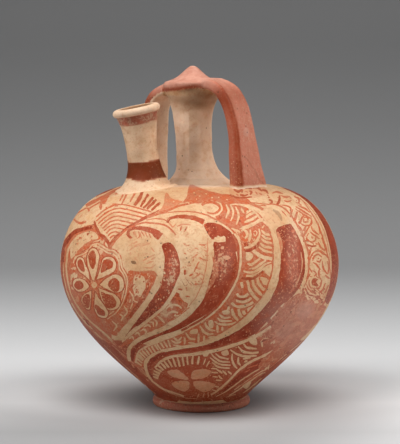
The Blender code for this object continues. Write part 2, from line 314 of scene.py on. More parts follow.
def on_body(column, row, turn):
    """Place in the flat layout of the body's point seen at a point of the picture."""
    for _ in range(MOST_STEPS):
        start, direction = pixel_ray(column, row, turn)
        place = BODY_TREE.ray_cast(start, direction)[0]
        if place is not None:
            return flatten(place)
        column += (MIDDLE_COLUMN - column) * COLUMN_STEP
        row += (MIDDLE_ROW - row) * ROW_STEP
    return None


def shake(column, row, fineness, seed):
    """How far the hand is off at a place of the picture, from -1 to 1."""
    return noise.noise(Vector((column * fineness, row * fineness, seed)))


def add_face(corners):
    """One patch of paint in the flat layout, with its corners in the right order."""
    area = sum(a[0] * b[1] - b[0] * a[1] for a, b in zip(corners, corners[1:] + corners[:1]))
    if abs(area) < 1e-9:
        return
    if area < 0:
        corners = corners[::-1]
    first = len(flat_points)
    flat_points.extend(corners)
    flat_faces.append(tuple(range(first, first + len(corners))))
    face_marks.append(len(marks) - 1)


def in_picture(turn):
    """Whether marks made from a bearing show in the picture. The others are made more simply."""
    return abs(turn - CAMERA_TURN) < PICTURE_REACH


def stroke(points, widths, paint, turn, steps=4, wobble=0.16):
    """A brush stroke through points of the picture, with its widths in pixels from start to end."""
    marks.append(paint)
    if not isinstance(widths, tuple):
        widths = (START_SHARE * widths, widths, widths, END_SHARE * widths)
    line = smooth_line(points, steps if in_picture(turn) else 2)
    count = len(line)
    sides = []
    for index, middle in enumerate(line):
        ahead, behind = line[min(index + 1, count - 1)], line[max(index - 1, 0)]
        along = (ahead - behind) / max(1e-6, np.hypot(*(ahead - behind)))
        share = index / (count - 1) * (len(widths) - 1)
        width = np.interp(share, range(len(widths)), widths)
        half = 0.5 * width * (1 + 2.0 * wobble * shake(*middle, WIDTH_SHAKE, len(marks) * 0.7))
        across = np.array([-along[1], along[0]])
        middle = middle + across * 0.5 * shake(*middle, SIDE_SHAKE, len(marks) * 0.3)
        left, right = middle + across * half, middle - across * half
        sides.append((on_body(*left, turn), on_body(*right, turn)))
    for (left, right), (next_left, next_right) in zip(sides, sides[1:]):
        if None not in (left, right, next_left, next_right):
            add_face([left, right, next_right])
            add_face([left, next_right, next_left])


def strokes(lines, widths, paint, turn, steps=4):
    """Several brush strokes alike."""
    for line in lines:
        stroke(line, widths, paint, turn, steps)


def patch(points, paint, turn, steps=3):
    """A filled area with a smooth edge through points of the picture."""
    marks.append(paint)
    edge = []
    for column, row in smooth_line(points, steps, closed=True):
        aside = EDGE_SHAKE_SIZE * shake(column, row, EDGE_SHAKE, 5.0)
        up = EDGE_SHAKE_SIZE * shake(column, row, EDGE_SHAKE, 11.0)
        edge.append(on_body(column + aside, row + up, turn))
    if None not in edge:
        add_face(edge)


def dots(places, size, paint, turn):
    """Small four-cornered dabs."""
    for column, row in places:
        patch([(column - size, row), (column, row - size), (column + size, row), (column, row + size)],
              paint, turn, steps=2)


def hatch(first, second, count, width, paint, turn):
    """Short strokes from one line across to another."""
    first, second = smooth_line(first, 8), smooth_line(second, 8)
    for index in range(count):
        share = (index + 0.5) / count
        a = first[int(share * (len(first) - 1))]
        b = second[int(share * (len(second) - 1))]
        stroke([a, 0.5 * (a + b), b], (width, width, 0.7 * width), paint, turn, steps=2)


def smudge(area, count, paints, turn, lean=-0.6, length=7.0, width=1.6):
    """Short uneven strokes scattered over an area of the picture, where the paint is rubbed."""
    if not in_picture(turn):
        return
    hand = Random(count * 31 + len(area))
    columns, rows = zip(*area)
    made = 0
    while made < count:
        x, y = hand.uniform(min(columns), max(columns)), hand.uniform(min(rows), max(rows))
        crossings = 0
        for (ax, ay), (bx, by) in zip(area, area[1:] + area[:1]):
            if (ay > y) != (by > y) and x < ax + (y - ay) / (by - ay) * (bx - ax):
                crossings += 1
        if crossings % 2 == 0:
            continue
        angle = lean + hand.gauss(0.0, SMUDGE_TURNING)
        reach = length * hand.uniform(*SMUDGE_LENGTHS)
        across, down = reach * math.cos(angle), reach * math.sin(angle)
        bend = hand.uniform(-SMUDGE_BEND, SMUDGE_BEND)
        wide = width * hand.uniform(*SMUDGE_WIDTHS)
        stroke([(x - 0.5 * across, y - 0.5 * down), (x + bend, y + bend), (x + 0.5 * across, y + 0.5 * down)],
               (0.3 * wide, wide, 0.8 * wide, 0.3 * wide), hand.choice(paints), turn, steps=2, wobble=0.4)
        made += 1


def rosette(turn):
    """The eight-petalled flower on the left of the body, in a scalloped double outline."""
    outer = [(72, 262), (74, 256.4), (77.5, 254), (86.7, 249.8), (91.6, 243.5), (97.9, 241.4), (103.5, 244.2),
        (109, 247.7), (116, 249.8), (121, 256), (123.2, 266.7), (127.4, 273.7), (128.8, 281), (127.6, 292),
        (124.4, 303), (117, 314), (108, 321)]
    ground = outer + [(100, 321), (88, 316), (79, 307), (73, 297), (69, 284), (69, 272)]
    patch(ground, LINE, turn)
    smudge([(71, 270), (75, 257), (88, 250), (97, 242), (108, 247), (119, 256), (125, 272), (118, 276),
        (104, 272), (94, 280), (84, 296), (76, 300), (70, 288)], 44,
        (SLIP, (0.5, 0.0), SLIP, (0.3, 0.0)), turn, -1.1, 8.0, 3.0)
    inset = [(94 + (x - 94) * 0.955, 285 + (y - 285) * 0.945) for x, y in outer]
    stroke(inset, 1.5, SLIP, turn)
    inner = [(94 + (x - 94) * 0.885, 285 + (y - 285) * 0.875) for x, y in outer]
    stroke(inner, 1.3, SLIP, turn)
    petals = (
        [(92.2, 281), (87.4, 266), (86.8, 255.6), (90.4, 248.6), (96, 248.4), (99.4, 254.6), (98.6, 264),
            (95, 280)],
        [(95.6, 280.6), (99.6, 270), (102, 259.4), (107.4, 256), (113.4, 258), (116.6, 264.6), (114.4, 271.4),
            (106, 276.4)],
        [(98.6, 285), (107, 277.4), (115.6, 273.8), (122.6, 277.4), (124.6, 284.6), (122, 291), (115, 292.8),
            (106, 289)],
        [(98, 287.6), (106, 290.4), (115.4, 294.4), (120.6, 300.4), (119.4, 307), (113.4, 310.4),
            (106, 308.8), (101, 299)],
        [(94.8, 290), (99, 297.6), (105.4, 306.4), (109.2, 313), (105.6, 318.2), (98, 316.4), (93.8, 307)],
        [(91.8, 290), (91.4, 300), (90.4, 309.2), (86, 309.2), (80.8, 300.6), (83, 294.4), (88, 291.6)],
        [(90, 287), (84.6, 291.4), (77.6, 292), (72.6, 286.4), (73.6, 279.6), (80, 278), (86.6, 281.4)],
        [(90.4, 282.6), (84.4, 275.6), (78.4, 271), (75.4, 263.4), (77.8, 257.4), (82.4, 257.6), (85.8, 264),
            (89.4, 274)],
    )
    for petal in petals:
        patch(petal, SLIP, turn)
        if in_picture(turn):
            stroke(petal + petal[:1], (1.0, 1.3, 1.0, 1.2), RED, turn, steps=3)
    drops = (
        [(92, 250.5), (88.3, 255.6), (89.2, 262.6), (91.4, 268.6), (94, 268), (96.2, 259.6), (95.4, 252.6)],
        [(102, 265), (103.6, 260.6), (108.4, 259.2), (112.4, 262), (112.4, 267), (107.6, 269.8),
            (101, 272.6)],
        [(108, 284), (110.4, 279.4), (115.4, 278.2), (119.6, 282), (119.6, 288.4), (116.6, 292), (110, 289)],
        [(101, 292), (106, 293.6), (112, 295.6), (116.2, 301.6), (114.6, 307.6), (107.6, 308.2),
            (103.4, 301)],
        [(95, 304.4), (99.3, 306.5), (104.8, 312.4), (103.8, 315.8), (98.4, 314.6), (95.4, 309)],
        [(90.2, 295.6), (85.3, 294.7), (82, 300.3), (86.4, 307.8), (89.4, 306.4)],
        [(83.6, 285.4), (80.4, 280.8), (75.8, 281.6), (73.8, 286), (77.6, 289.8), (82, 288.6)],
        [(79.6, 259.2), (77.3, 263.9), (80.6, 270.8), (84.8, 270.6), (83.2, 262)],
    )
    for drop in drops:
        patch(drop, RED, turn)
    patch([(91.4, 285), (94.4, 281.8), (97.4, 285), (94.4, 288.4)], SLIP, turn)
    dots([(94.4, 285)], 0.9, FAINT, turn)


def fan(turn):
    """The fan of arcs above the flower, between two heavy edges."""
    left = [(93.7, 218.3), (95.4, 225), (99.3, 233.3), (104.9, 238.2), (108.6, 243.2), (110.2, 248)]
    right = [(110.2, 248), (112.4, 241.3), (120.7, 233), (131.5, 225.6), (141.5, 219.8), (151.4, 214.8),
        (160, 210.8)]
    patch([(94, 219.6), (100, 213), (108, 208.6), (118, 206), (130, 206), (142, 208.6), (152, 213.6),
        (141, 219.8), (131, 225.6), (121, 232.6), (112.6, 240.6), (110, 246), (104.6, 238), (99, 232.6),
        (95.6, 226)], SLIP, turn)
    for level in range(9):
        reach = 3.5 + level * 3.15
        start = (112.2 - reach * 0.62, 241 - reach * 0.78)
        end = (113.4 + reach * 1.32, 239.8 - reach * 0.98)
        top = (112.8 + reach * 0.18, 240 - reach * 1.24)
        stroke([start, (start[0] * 0.55 + top[0] * 0.45, start[1] * 0.38 + top[1] * 0.62), top,
            (top[0] * 0.5 + end[0] * 0.5, top[1] * 0.62 + end[1] * 0.38), end], (1.5, 1.6, 1.4, 1.6, 1.7),
            LINE, turn)
    stroke(left, (1.6, 3.0, 3.4, 3.2), RED, turn)
    stroke(right, (3.4, 2.6, 2.8, 3.2, 2.6), RED, turn)


def fringe(turn):
    """The short strokes under the spout."""
    strokes([[(127.4, 188), (126, 195.4), (121.6, 204)], [(123.2, 190), (122.6, 195.4), (119.6, 201)],
        [(136.1, 186.8), (134.4, 194), (130, 202)]], 1.9, LINE, turn)
    strokes([[(142.4, 190), (140, 197), (134.6, 205.5)]], (3.0, 3.0, 4.2, 3.0), RED, turn)
    strokes([[(148.2, 194), (145, 199.6), (140.4, 206.8)], [(153.3, 197.2), (148.6, 203), (143, 208)],
        [(156.6, 199.6), (151, 205), (147, 209)], [(160.4, 202.4), (155, 207), (151.2, 210.4)]],
        (2.4, 2.6, 2.4, 2.0), RED, turn)
    dots([(108.4, 201), (115.4, 200.4), (100.7, 207.4), (111.2, 205.3), (116.8, 204.9), (106.3, 208),
        (104, 203.6)], 1.0, LINE, turn)
    stroke([(86, 206), (104, 196), (123, 187.4)], (3.4, 3.6, 3.0), LINE, turn)
    stroke([(88.6, 208.6), (105, 199.4), (120.4, 191.6)], (1.4, 1.8, 1.6), LINE, turn)
    stroke([(94, 199.6), (108, 192), (122, 186)], 0.9, SLIP, turn)


def chip(turn):
    """The small flaked place on the shoulder, right of the middle."""
    patch([(263.8, 207.1), (271, 207.9), (278.4, 212.3), (284.3, 224), (277, 227), (271, 227.7),
        (264.5, 221)], (0.10, 0.0), turn)
    stroke([(273, 209.6), (277.6, 213), (280.6, 217.4), (281.6, 221)], (1.6, 3.8, 3.2, 1.0),
        (0.1, 0.0, 0.40), turn)
    strokes([[(266, 212), (271, 214)], [(272, 219), (275, 223)]], 1.2, (0.3, 0.0, 0.05), turn, 3)


def left_edge(turn):
    """The leaf loop, the dark band and the thin lines near the left side."""
    patch([(95, 225.6), (84, 226.6), (72, 231.6), (64, 241), (60.6, 256), (60.4, 276), (64, 296), (73, 313),
        (88, 330), (104, 346), (124, 366), (140, 382), (152, 393), (160, 396), (150, 380), (138, 366),
        (124, 352), (112, 338), (112, 326), (100, 321), (88, 316), (79, 307), (73, 297), (69, 284), (69, 272),
        (72, 262), (78, 254), (87, 249), (92, 243), (98, 240), (104, 240)], LINE, turn)
    stroke([(93, 233), (82, 234.6), (74, 240), (68.6, 249), (66.6, 262), (67, 276), (70.6, 292), (78, 307),
        (90, 321), (104, 333), (114, 343)], (2.6, 2.0, 1.8, 1.6, 1.6, 1.8), SLIP, turn)
    stroke([(63.6, 262), (63.8, 277), (67.6, 294), (76, 311), (90, 327), (106, 343), (122, 358)], 1.3,
        SLIP, turn)
    patch([(70.6, 246), (74.4, 238.6), (81, 233.6), (89, 231.2), (95, 232.4), (98.6, 238), (90, 241),
        (82.6, 246), (76, 253), (71, 259)], SLIP, turn)
    smudge([(72, 248), (78, 238), (90, 232), (97, 238), (86, 243), (78, 250), (72, 258)], 24,
        (LINE, WASH, RED, FAINT), turn, -0.5, 3.6, 1.3)
    strokes([[(97, 236), (88, 240), (79, 247.6)], [(100.6, 239.6), (93, 243)], [(76.6, 262), (73.4, 271)],
        [(84, 240.6), (76, 248), (72.4, 256)]], 1.8, SLIP, turn)
    stroke([(61.6, 262), (62.6, 248), (69.1, 237.4), (77.5, 230.4), (92.4, 227.2)], (4.8, 4.6, 3.8, 3.4),
        DARK, turn)
    stroke([(61.6, 262), (61.4, 276), (64.4, 290), (70.4, 304)], (3.6, 3.2, 2.6, 2.0), RED, turn)
    patch([(86.7, 206.6), (77.5, 211.6), (72.6, 219.3), (80, 225), (90, 224), (94.6, 218), (92, 209)],
        SLIP, turn)
    stroke([(86.7, 208), (77.5, 213), (74, 219.3), (81, 223.5), (87.4, 217.9), (88.8, 210.2), (86.7, 208)],
        2.2, LINE, turn)
    strokes([[(92, 212.6), (90.4, 220)], [(80, 217.6), (82.6, 214)]], 1.2, FAINT, turn)


def rust_field(turn):
    """The worn reddish field between the flower and the first arm."""
    patch([(128, 271), (140, 271.4), (152, 270.4), (157.4, 276), (155, 288), (147, 302), (136, 316),
        (124, 329), (116, 336), (108, 330), (106, 322), (114, 316.4), (121.6, 307), (126.6, 296),
        (128.8, 284)], LINE, turn)
    patch([(136, 275), (144, 277), (145, 288), (139, 296), (133, 291), (133.6, 281)], SLIP, turn)
    strokes([[(129.4, 291), (133.6, 299), (130.4, 309)], [(123.8, 305.6), (127, 312), (121.6, 319)],
        [(118.6, 313), (123, 317.6), (116, 325)], [(134, 301), (138.6, 304), (134, 311)],
        [(112, 321), (116.6, 326), (113.4, 331)]], 1.6, SLIP, turn)
    patch([(121.6, 292), (126.6, 291), (127, 301), (122.6, 304)], RED, turn)
    stroke([(148.4, 287), (143.6, 297), (136.4, 308.4), (127, 319.6)], (2.0, 4.4, 5.0, 2.4), RED, turn)
    smudge([(129, 274), (154, 272), (156, 286), (146, 304), (132, 320), (118, 334), (108, 328), (118, 316),
        (127, 298)], 60, (RED, WASH, (1.0, 0.3), FAINT, SLIP, LINE), turn, -1.0, 5.0, 1.5)
    strokes([[(130.6, 250), (135, 245.6), (141.6, 243.6), (148, 243)], [(128.6, 246), (133.4, 242.6)]], 1.5,
        FAINT, turn)


def shoulder_zone(turn):
    """The orange areas and lines on the shoulder, under the neck."""
    patch([(165.5, 193), (168.8, 194.6), (170.5, 197.4), (176, 199.6), (183, 201.5), (178.8, 204.6),
        (169.7, 210.8), (160, 213.4), (153, 214.6), (161, 209), (163.6, 202.4)], WASH, turn)
    patch([(183, 202.4), (187, 196), (189.6, 184.6), (199.5, 187.6), (216, 192.4), (232, 195), (246, 198),
        (250, 203), (230, 202.6), (207.8, 203), (191.2, 201.6)], LINE, turn)
    stroke([(183, 202.6), (191.2, 201), (207.8, 202), (230, 202.6), (247, 204.2), (262, 207.6), (272, 211.4)],
        2.0, LINE, turn)
    stroke([(147, 217.6), (158, 213.6), (170, 209.6), (178.8, 206), (191.2, 203), (203.6, 202)],
        (2.8, 2.6, 2.2, 1.8), LINE, turn)
    stroke([(160, 213.8), (175.7, 211.8), (191.2, 211.8), (203.6, 214), (214, 218.6), (224, 224), (233, 231),
        (238.4, 239), (241, 249), (241.6, 259)], 1.6, LINE, turn)
    stroke([(146, 220), (158, 218.6), (166, 220.6), (172, 226)], 1.4, LINE, turn)
    patch([(224, 203), (236, 203.4), (245, 207), (246, 216), (243, 226), (236, 229.6), (228, 224),
        (220, 219.4), (223.6, 212)], LINE, turn)
    strokes([[(226, 204.4), (228.6, 211), (225.6, 218)], [(230.6, 205), (233.4, 212.6), (230.6, 221)],
        [(235.6, 206.6), (238.8, 215), (236.4, 224.6)], [(241, 208), (243.6, 213)]], 2.1, SLIP, turn)
    patch([(200, 206.6), (204, 201.6), (212, 200.6), (220.6, 203.4), (222.6, 210), (216, 216), (206, 213.4)],
        SLIP, turn)
    stroke([(201.6, 205), (205.3, 202.8), (211.9, 202.2), (218.4, 204.8), (219.6, 209.6), (214, 213.6),
        (207, 212.4)], (3.4, 2.8, 2.4, 1.8), LINE, turn)
    dots([(209, 207)], 1.6, FAINT, turn)
    strokes([[(188.2, 203.4), (189.4, 203)], [(193.4, 192.6), (195, 193)], [(199, 196), (200.4, 196.2)],
        [(205.4, 193.4), (207, 194)], [(211, 197.4), (213, 197.8)], [(218, 197), (219.4, 197.4)],
        [(173, 201.6), (174.4, 202)], [(196, 199), (197, 199.2)], [(226, 199.4), (228, 199.8)]], 1.3,
        SLIP, turn, 2)
    dots([(220.6, 217.2)], 1.8, RED, turn)
    patch([(229, 187), (240, 185.8), (252, 185.6), (264, 187.6), (268, 192), (260, 197), (244, 198.6),
        (232, 197)], (0.30, 0.0), turn)
    strokes([[(233.6, 189.4), (238, 191.4), (242, 189.8), (242, 192.6)],
        [(243.4, 188.2), (248, 187.8), (252, 188.6)], [(240, 194.6), (244, 195.6), (248, 194.4)],
        [(249.4, 190.6), (251.6, 192), (250, 194.8)], [(253, 188), (256.6, 187.2), (259.6, 189.4),
        (262.4, 191)], [(262, 189.4), (266, 191), (268.6, 193.6)], [(229.6, 195), (236, 197.4), (243, 197.6),
        (252, 197)]], (1.4, 2.4, 2.0, 1.2), RED, turn)
    strokes([[(236, 194), (238.6, 195.6)], [(245, 191), (248, 192.4)], [(255, 191.6), (257.4, 194.6)],
        [(258.6, 193), (262, 195)]], 1.3, LINE, turn)


def tentacles(turn):
    """The heavy arms that hook over the shoulder and run down to the left, each between cream stripes."""
    stroke([(110.2, 247), (120.7, 234.4), (133.2, 226), (145.6, 222.6), (162.2, 224.4), (170.5, 229),
        (176, 235)], (2.4, 1.9, 1.8, 1.9, 1.6), LINE, turn)
    stroke([(131.5, 238.6), (128, 234.7), (129.9, 229.9), (135.7, 228.2), (144.8, 228.8), (153, 231.4),
        (160.6, 237)], (3.0, 3.2, 2.4, 3.2, 5.0, 6.4, 8.6), RED, turn)
    strokes([[(134, 230.6), (136.4, 237.6)], [(139, 231.4), (142, 238.4)], [(145.4, 233), (147.6, 237.6)]],
        1.5, WASH, turn, 3)
    arm = [(161.7, 246), (166, 242.6), (171.3, 243.1), (177.1, 251.9), (180, 267.3), (177.9, 278.3),
        (172, 291.5), (163.2, 305.4), (154.4, 313.4), (143, 322.6), (131, 330.4), (124.6, 337), (131, 328),
        (139, 317.5), (150, 302.5), (155, 294.6), (159.5, 287.3), (163.9, 271), (164.7, 256.3)]
    patch(arm, DARK, turn)
    stroke([(156.4, 240), (160.4, 250), (160.8, 266), (157, 282), (149, 297), (138, 312.4), (128, 324.6),
        (118, 335)], (3.4, 4.6, 5.0, 4.6, 3.8, 3.4, 3.0), SLIP, turn)
    stroke([(178.4, 245), (182.8, 256), (183.4, 268), (181.4, 279), (175, 292.8), (165.4, 306.4),
        (154.6, 315.8), (140, 327.4), (122, 342)], (1.6, 1.6, 1.8, 1.9, 1.8), SLIP, turn)
    stroke([(167.4, 222.8), (169.4, 219), (175, 217), (184, 216.6), (194, 218.2), (204, 222)],
        (2.4, 3.0, 3.8, 4.6, 5.2), RED, turn)
    stroke([(168.6, 223), (172.4, 227), (176.2, 223.4)], 1.4, WASH, turn)
    stroke([(177, 226), (184, 224.4), (191, 225)], 1.8, WASH, turn)
    strokes([[(181.6, 226), (180.4, 231)], [(187.4, 226.4), (184, 232)]], 1.9, LINE, turn, 3)
    patch([(203.6, 225), (210.9, 222.3), (220.4, 224.7), (229.2, 230.8), (231.8, 234.4), (229.6, 238.9),
        (224.8, 236.5), (219, 237.8), (213, 239.4), (209.6, 236.6), (206.8, 231.6)], DARK, turn)
    patch([(213.6, 242), (221, 241.4), (230.6, 239.8), (235, 248.6), (237.4, 262.2), (236.6, 274.6),
        (232.1, 284.2), (224, 297), (213, 309.4), (198, 319.6), (180, 329), (160, 336.4), (143, 343.6),
        (136, 350.6), (133.2, 362), (130.6, 356), (134, 347), (143, 339.6), (158.6, 333.4), (174.6, 326),
        (188.6, 316.8), (198.6, 306), (206, 293.4), (209.6, 279.4), (213, 266), (214.2, 254)], DARK, turn)
    patch([(223.6, 236), (230.4, 232.4), (236, 243), (236.6, 252), (224.6, 250), (221.6, 243)], DARK, turn)
    stroke([(232.6, 234), (237.2, 243), (238.8, 258), (237.2, 272), (231.8, 285.4), (223.6, 298.4),
        (213.4, 310.4), (198.6, 321.4), (181.2, 330.6)], (2.4, 3.0, 3.0, 3.0, 2.4, 2.0), RED, turn)
    stroke([(212.6, 257), (216, 268), (212, 282), (206, 293)], (1.6, 5.0, 4.0, 2.0), (0.85, 0.25), turn)
    smudge([(186, 246), (206, 242), (207, 262), (204, 280), (198, 290), (186, 284), (183, 264)], 44,
        (LINE, WASH, FAINT), turn, 0.5, 4.2, 1.3)
    stroke([(210.4, 240), (210.8, 250), (210.6, 260), (208.4, 272), (205, 285.6), (200.4, 296.6),
        (193.2, 307.6), (184.4, 315.4), (172, 323.6), (159.4, 330.6), (146, 335.8), (134.4, 342.8),
        (128.6, 350.8), (129.6, 361)], (2.4, 3.8, 4.4, 4.6, 4.6, 4.4, 3.8, 3.2), SLIP, turn)
    stroke([(234.4, 233.6), (239.6, 243), (240.8, 258), (239.2, 272), (233.8, 286.4), (225.6, 299.6),
        (215.2, 311.8), (199.6, 323.8), (182.2, 332.8), (161.2, 340.6), (143.8, 347.8), (137.4, 354.4),
        (135.8, 363)], (1.8, 1.9, 1.9, 1.9, 1.9), SLIP, turn)
    stroke([(237.4, 232), (242.2, 242), (243.6, 257), (242, 271), (236.6, 285.6), (228.4, 299), (218, 311.4),
        (202.4, 323.4), (184, 332.8)], (1.2, 2.4, 2.2, 2.0, 1.6), LINE, turn)
    stroke([(207.6, 238), (207.4, 250), (206.8, 262), (204.6, 274), (201, 286), (196, 297), (189, 306)],
        (0.8, 1.3, 1.2, 1.0), WASH, turn)


def lower_arm(turn):
    """The third arm, on the right, whose tail runs under the flower of four petals."""
    patch([(276, 230), (280.6, 226), (286.4, 224.4), (291, 224.4), (296, 232), (301, 242), (304, 252),
        (305, 262), (304.8, 272), (302.6, 281), (298, 290), (290, 299), (281, 305.6), (274, 314), (264, 325),
        (254, 334.4), (240, 339.6), (219.5, 346.2), (200, 350.4), (181, 352.2), (166, 355), (154, 362),
        (150.6, 370), (154, 380), (149, 374), (147.6, 363), (152.6, 357), (165.4, 352), (182, 348.8),
        (204, 345), (223, 337.4), (240, 327), (254, 317), (264, 307.6), (271.6, 297), (277.4, 284),
        (279.8, 270), (280.6, 254), (277.8, 239)], DARK, turn)
    stroke([(277.6, 232), (280.6, 243), (281.4, 253)], (1.6, 4.0, 3.4, 1.2), WASH, turn)
    strokes([[(301, 252), (302.4, 262), (301.4, 272)], [(300.6, 273), (298.6, 280), (295, 287)]],
        (0.8, 1.6, 0.8), (0.5, 0.1), turn)
    stroke([(271.6, 227), (275.4, 239), (277, 250), (277, 261), (276, 271), (273.4, 281), (270, 290.4),
        (265, 299.4), (258.6, 307.4), (250.4, 316.6), (240, 325.6), (230, 332), (220, 337.2), (209, 341.8),
        (200, 344.8)], (4.6, 5.6, 6.6, 7.0, 7.0, 7.4, 7.4, 6.0, 5.0, 4.0, 3.0), SLIP, turn)
    stroke([(268, 229), (271.6, 239), (273, 250), (273, 261), (272, 271), (269.6, 280.4), (266, 289),
        (261, 297.6), (254.6, 305.4), (246.6, 314.4), (237, 322.4), (227, 329), (214, 335.4)],
        (1.0, 1.5, 1.4, 1.6, 1.2), LINE, turn)
    stroke([(201, 344.6), (188.9, 347.2), (170, 349.8), (159, 352), (152, 355.4), (147, 360), (145.6, 367),
        (150.4, 378.8), (163.6, 389), (184, 396.2)], (2.4, 1.8, 1.8, 2.4, 3.6, 3.6, 2.2, 1.8, 1.6),
        SLIP, turn)
    stroke([(240, 204.4), (252, 205.6), (263, 207), (274, 206.8), (280, 208.4), (285.4, 213), (290.4, 219.4),
        (294.4, 227), (298.8, 235), (302.2, 242.6), (305, 250), (306, 258), (306.4, 266), (306.2, 273.6),
        (304.6, 281.6), (301, 289.6)], (1.4, 1.8, 2.0, 2.0, 2.2, 2.2, 1.6), SLIP, turn)
    stroke([(252, 202.6), (266, 204.2), (275, 204.4), (283, 207.4), (289, 213), (294, 219.6), (298, 226.6),
        (302.6, 235), (305.6, 243.4), (308, 251), (308.8, 260), (308.6, 270), (307.2, 279), (304.2, 287)],
        (1.0, 1.7, 1.6, 1.8, 1.2), LINE, turn)
    stroke([(230, 204.6), (240.3, 204.6), (252, 209.5), (261.5, 219.6), (268, 226)], 2.0, SLIP, turn)
    stroke([(247, 201.6), (254, 205), (262, 208.6), (270, 212)], (2.0, 3.2, 2.6, 1.0), LINE, turn)
    stroke([(271, 326.4), (258, 335), (244.7, 341.4), (230, 346.4), (219.5, 349.6), (204, 352.6),
        (188.9, 355), (173.6, 356.4), (162.8, 360.2), (154.6, 367.6)], (2.0, 3.0, 3.4, 3.2, 2.8, 2.0),
        SLIP, turn)


